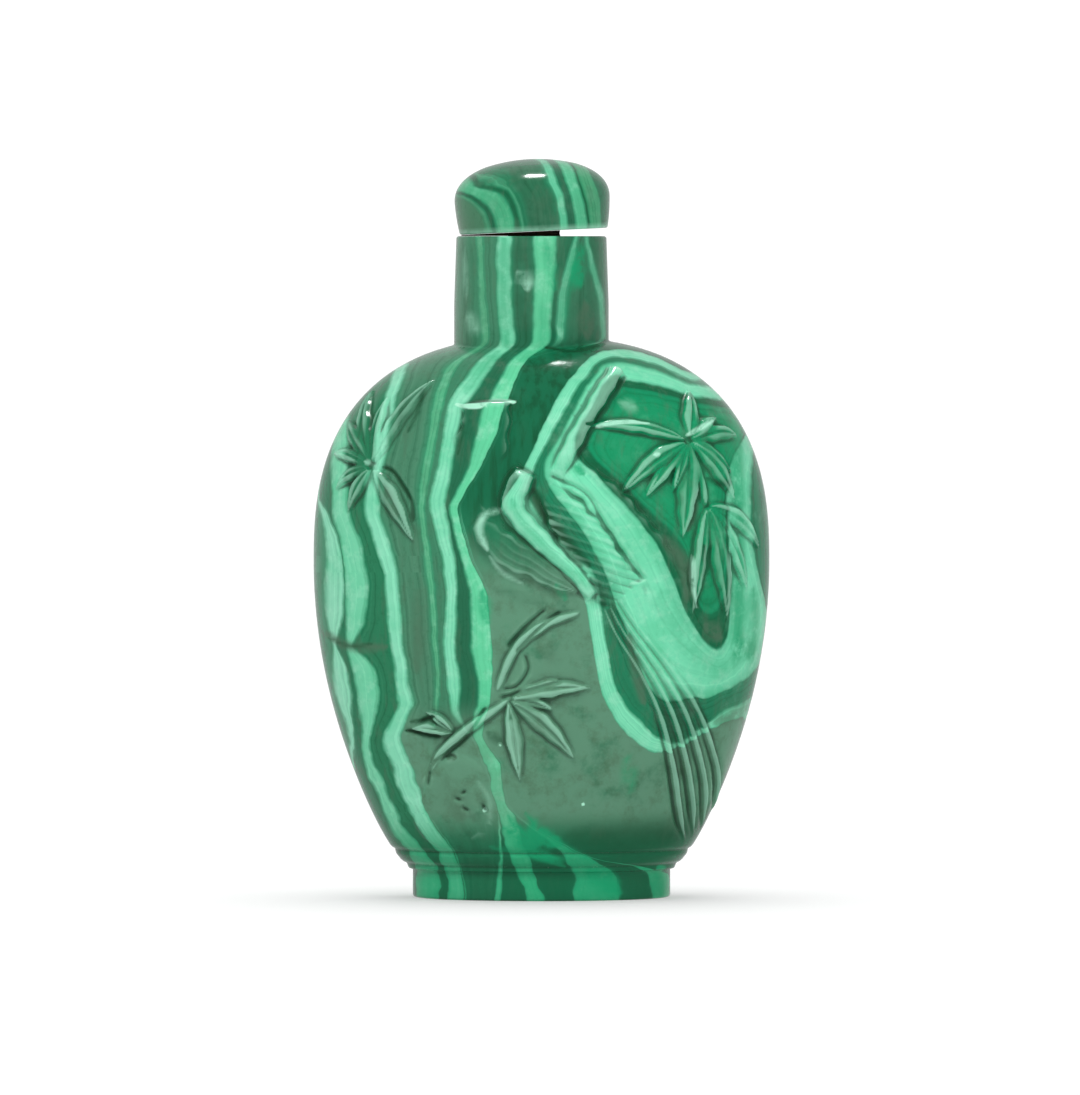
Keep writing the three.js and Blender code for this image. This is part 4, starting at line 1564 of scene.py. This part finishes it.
def banded(shader, passed, growth, greens, rate):
    """The colours of a set of layers, with growth lines inside each."""
    base = shader.node("ValToRGB", {"stops": greens}, {"Fac": passed / (len(greens) - 1)}).outputs[0]
    light = shader.brightness(base).between(0.16, 0.42)
    edge = 2 * shader.math("ABSOLUTE", shader.math("FRACT", growth) - 0.5)
    base = shader.blend(edge.between(0.55, 1) * 0.4, base, FRINGE)
    thin = shader.lines(growth * rate + 0.4 * shader.noise(500, 2), 4)
    dark_lines = thin.between(0.5, 0.75) * (0.65 - 0.3 * light)
    base = shader.blend(dark_lines, base, DARKER, "MULTIPLY")
    pale_lines = (1 - thin).between(0.52, 0.8) * 0.55
    base = shader.blend(pale_lines, base, LIGHTER, "MULTIPLY")
    clear_patches = light * shader.noise(210, 3).between(0.45, 0.7) * 0.45
    base = shader.blend(clear_patches, base, CLEAR)
    white_flecks = light * shader.noise(800, 4, 0.6).between(0.45, 0.75) * 0.35
    base = shader.blend(white_flecks, base, PALE)
    specks = (1 - shader.noise(2100, 4, 0.65)).between(0.5, 0.72) * (0.35 - 0.2 * light)
    base = shader.blend(specks, base, DARKER, "MULTIPLY")
    brown_streaks = (1 - light) * shader.noise(950, 4, 0.62, UPRIGHT).between(0.48, 0.7) * 0.4
    return shader.blend(brown_streaks, base, EARTH)


def polish(shader, colour, cuts=0.0):
    """Wax-polished stone: scratches in the shine, and a slightly uneven skin."""
    roughness = POLISH_ROUGHNESS + SCRATCH_ROUGHNESS * shader.noise(2600, 4, 0.7) + cuts * CUT_ROUGHNESS
    normal = shader.bump(SKIN_WAVES * shader.noise(1300, 3), 0.6)
    return shader.finish({"Base Color": colour, "Roughness": roughness, "IOR": 1.5, "Normal": normal})


def body_bands(shader, across, height, crinkle, cloud):
    """Bands up the bottle: grey low on the front, deep green above the bird, clearer by the foot."""
    level = (height - LEVELS[0]) / (LEVELS[-1] - LEVELS[0])
    lines = [shader.curve(level, line[::LINE_STEP] / SPAN + 0.5) for line in edge_lines]
    passed, growth = stacked(across / SPAN + 0.5 + crinkle, lines)
    colour = banded(shader, passed, growth, BODY_GREENS, BODY_RATE)
    dark = 1 - shader.brightness(colour).between(0.14, 0.3)
    inner = passed.between(*PAST_THIRD)
    near_foot = 1 - height.between(*FOOT_GREEN)
    colour = shader.blend((1 - dark) * near_foot * 0.8, colour, BRIGHT)
    rock = passed.between(*PAST_FIRST) * (1 - 0.5 * passed.between(*INTO_THIRD))
    rock = rock * (1 - height.between(*ROCK_TOP))
    low_inner = inner * (1 - height.between(*ASH_TOP))
    ash = shader.math("MAXIMUM", low_inner, rock) * height.between(*ASH_START)
    ash = shader.math("MAXIMUM", ash, NECK_ASH * height.between(*NECK_START))
    colour = shader.blend(ash * cloud.between(0.15, 0.5) * 0.88, colour, ASHEN)
    colour = shader.blend(ash * shader.noise(600, 5, 0.65).between(0.45, 0.75) * 0.4, colour, BROWN)
    above = inner * height.between(*FIELD_START) * (1 - height.between(*FIELD_TOP))
    colour = shader.blend(shader.math("MAXIMUM", above, dark * near_foot) * 0.85, colour, SHADED)
    streaks = shader.noise(1300, 3, 0.6, STEEP).between(0.42, 0.68)
    return shader.blend(above * streaks * 0.5, colour, DEEP)


def ring_bands(shader, across, height, crinkle, cloud):
    """Layers nested round the bird, and one where the stone lies outside them."""
    right = across - RING_CENTRE[0]
    up = height - RING_CENTRE[1]
    turn = shader.math("ARCTAN2", up, 0 - right) / (2 * np.pi) + 0.5
    lines = [shader.curve(turn, line / SPAN) for line in ring_lines]
    distance = shader.math("SQRT", right * right + up * up) / SPAN
    passed, growth = stacked(distance + crinkle, lines)
    colour = banded(shader, passed, growth, RING_GREENS, RING_RATE)
    colour = shader.blend(cloud.between(0.5, 0.75) * 0.12, colour, PALE)
    return colour, passed.between(*OUTSIDE_RINGS)


def malachite():
    shader = new_shader("banded_malachite")
    across = shader.field("across")
    height = shader.field("height")
    cloud = shader.noise(330, 4, 0.62)
    loose = 1 + LOOSE * (1 - height.between(*LOOSE_TOP))
    crinkle = (WOBBLE * (shader.noise(900, 2) - 0.5) + DRIFT * loose * (shader.noise(330, 2) - 0.5)) / SPAN
    body = body_bands(shader, across, height, crinkle, cloud)
    eye, outside_eye = ring_bands(shader, across, height, crinkle, cloud)
    colour = shader.blend(outside_eye, eye, body)
    flecks = shader.noise(700, 4, 0.65).between(0.2, 0.55)
    tint = shader.field("tint")
    colour = shader.blend(tint.between(*TINT_SOFT) * flecks * 0.85, colour, BRIGHT)
    colour = shader.blend((0 - tint).between(*TINT_SOFT) * flecks * 0.8, colour, EARTH)
    # Pale and deep marks: bruises, specks and seams, with painted highlights on upper edges and painted shade
    # at the neck's base
    stain = shader.field("stain")
    colour = shader.blend(stain.between(0.1, 0.8) * flecks, colour, PALE)
    colour = shader.blend((0 - stain).between(0.1, 1) * (0.55 + 0.35 * flecks), colour, DEEP)
    # Painted shade and dust darken the cuts, and a painted highlight and wear lighten the ridges
    crevice = shader.field("crevice")
    cuts = crevice.between(*CUT_SOFT)
    colour = shader.blend(cuts * 0.6, colour, DEEP)
    colour = shader.blend((0 - crevice).between(*CUT_SOFT) * 0.4, colour, PALE)
    return polish(shader, colour, cuts)


def cap_malachite():
    shader = new_shader("banded_cap")
    crinkle = DRIFT * (shader.noise(330, 2) - 0.5)
    position = (shader.field("across") + crinkle) / SPAN + 0.5
    passed, growth = stacked(position, [edge / SPAN + 0.5 for edge in cap_edges])
    colour = banded(shader, passed, growth, CAP_GREENS, CAP_RATE)
    colour = shader.blend(shader.noise(420, 4).between(0.5, 0.8) * 0.25, colour, ASHEN)
    colour = shader.blend(shader.field("wear") * shader.noise(900, 3).between(0.1, 0.5) * 0.5, colour, PALE)
    return polish(shader, colour)


bottle.data.materials.append(malachite())
cap.data.materials.append(cap_malachite())
print("stone materials:", [material.name for material in bpy.data.materials])

# %% [markdown]
# ## Cork finish
# Old cork in a snuff bottle is nearly black at its edge, with darker pores. Noise at two sizes gives the
# grain. The same finish colours the dark wedge that stands in for shadow in the gap.

# %% Cork colours
CORK_DARK = green(52, 38, 26)
CORK_LIGHT = green(96, 72, 50)
CORK_PORE = green(20, 14, 10)
CORK_GRAIN = 0.00008


def cork_and_shadow_wedge_finish():
    shader = new_shader("cork_and_shadow_wedge_finish")
    grain = shader.noise(1400, 4)
    pores = shader.noise(4200, 2).between(0.55, 0.7)
    colour = shader.blend(grain, CORK_DARK, CORK_LIGHT)
    colour = shader.blend(pores * 0.8, colour, CORK_PORE)
    normal = shader.bump(CORK_GRAIN * grain, 0.8)
    return shader.finish({"Base Color": colour, "Roughness": 0.75 + 0.2 * grain, "Normal": normal})


cork.data.materials.append(cork_and_shadow_wedge_finish())
print("cork material made")

# %% [markdown]
# ## Studio
# The photograph has a white ground with a short soft shadow, and bright lines on edges that face up. So
# the stone has a high key light, a fill and a crown light from behind, kept off the floor as a
# photographer does with flags. The floor has a wide light of its own straight above, and one small lamp
# overhead is there only to be mirrored.

# %% Floor and lights
WHITE = (1, 1, 1, 1)
FLOOR_SIZE = 12
FLOOR_WHITE = 0.53
FLOOR_GLOW = 0.45
ROOM_FRONT = 0.2
ROOM_BEHIND = 0.6
ROOM_SEEN = 1.1
STRIP_SIZE = (0.12, 0.2)
STRIP_POWER = 7
STRIP_PLACE = (0.0, 0.2, 1.1)
STONE_LIGHTS = [
    {"name": "key", "from": (-0.5, -0.8, 1.2), "energy": 2.3, "angle": 24},
    {"name": "fill", "from": (0.9, -0.9, 0.5), "energy": 1.05, "angle": 40},
    {"name": "crown", "from": (-0.12, 0.6, 1), "energy": 0.45, "angle": 24},
]
FLOOR_LIGHT = {"name": "ground", "from": (0, 0.1, 1), "energy": 2.8, "angle": 60}


def add_floor():
    half = FLOOR_SIZE / 2
    corners = [(-half, -half, 0), (half, -half, 0), (half, half, 0), (-half, half, 0)]
    mesh = bpy.data.meshes.new("floor")
    mesh.from_pydata(corners, [], [(0, 1, 2, 3)])
    floor = bpy.data.objects.new("floor", mesh)
    bpy.context.collection.objects.link(floor)
    white = (FLOOR_WHITE, FLOOR_WHITE, FLOOR_WHITE, 1)
    inputs = {"Base Color": white, "Roughness": 0.9, "Specular IOR Level": 0.0}
    inputs |= {"Emission Color": WHITE, "Emission Strength": FLOOR_GLOW}
    mesh.materials.append(new_shader("pale_floor").finish(inputs))
    floor.visible_glossy = False
    return floor


def group(name, things):
    """A set of objects that a light can be kept to."""
    collection = bpy.data.collections.new(name)
    for thing in things:
        collection.objects.link(thing)
    return collection


def add_light(light, lit):
    """A distant lamp that lights one set of objects and isn't mirrored."""
    data = bpy.data.lights.new(light["name"], "SUN")
    data.energy = light["energy"]
    data.angle = math.radians(light["angle"])
    lamp = bpy.data.objects.new(light["name"], data)
    lamp.location = light["from"]
    lamp.rotation_euler = (-lamp.location).to_track_quat("-Z", "Y").to_euler()
    lamp.visible_glossy = False
    lamp.light_linking.receiver_collection = lit
    bpy.context.collection.objects.link(lamp)


def add_strip():
    """A lamp overhead that is only seen mirrored in the polish."""
    data = bpy.data.lights.new("strip", "AREA")
    data.shape = "RECTANGLE"
    data.size = STRIP_SIZE[0]
    data.size_y = STRIP_SIZE[1]
    data.energy = STRIP_POWER
    strip = bpy.data.objects.new("strip", data)
    strip.location = STRIP_PLACE
    strip.rotation_euler = (-strip.location).to_track_quat("-Z", "X").to_euler()
    strip.visible_diffuse = False
    bpy.context.collection.objects.link(strip)


def add_room():
    """A white room: bright where the camera sees it and behind the bottle, dimmer in front."""
    shader = Shader(bpy.data.worlds.new("room"))
    direction = shader.node("TexCoord", {}, {}).outputs["Generated"]
    behind = Value(shader, shader.node("SeparateXYZ", {}, {0: direction}).outputs["Y"])
    strength = ROOM_FRONT + (ROOM_BEHIND - ROOM_FRONT) * behind.between(0, 1)
    lit = shader.node("Background", {}, {"Color": WHITE, "Strength": strength}).outputs[0]
    backdrop = shader.node("Background", {}, {"Color": WHITE, "Strength": ROOM_SEEN}).outputs[0]
    direct = shader.node("LightPath", {}, {}).outputs["Is Camera Ray"]
    mixed = shader.node("MixShader", {}, {0: direct, 1: lit, 2: backdrop}).outputs[0]
    shader.node("OutputWorld", {}, {"Surface": mixed})
    bpy.context.scene.world = shader.owner


add_room()
add_light(FLOOR_LIGHT, group("ground_lit", [add_floor()]))
stone_lit = group("stone_lit", [bottle, cap, cork])
for light in STONE_LIGHTS:
    add_light(light, stone_lit)
add_strip()
bpy.context.scene.view_settings.view_transform = "Standard"
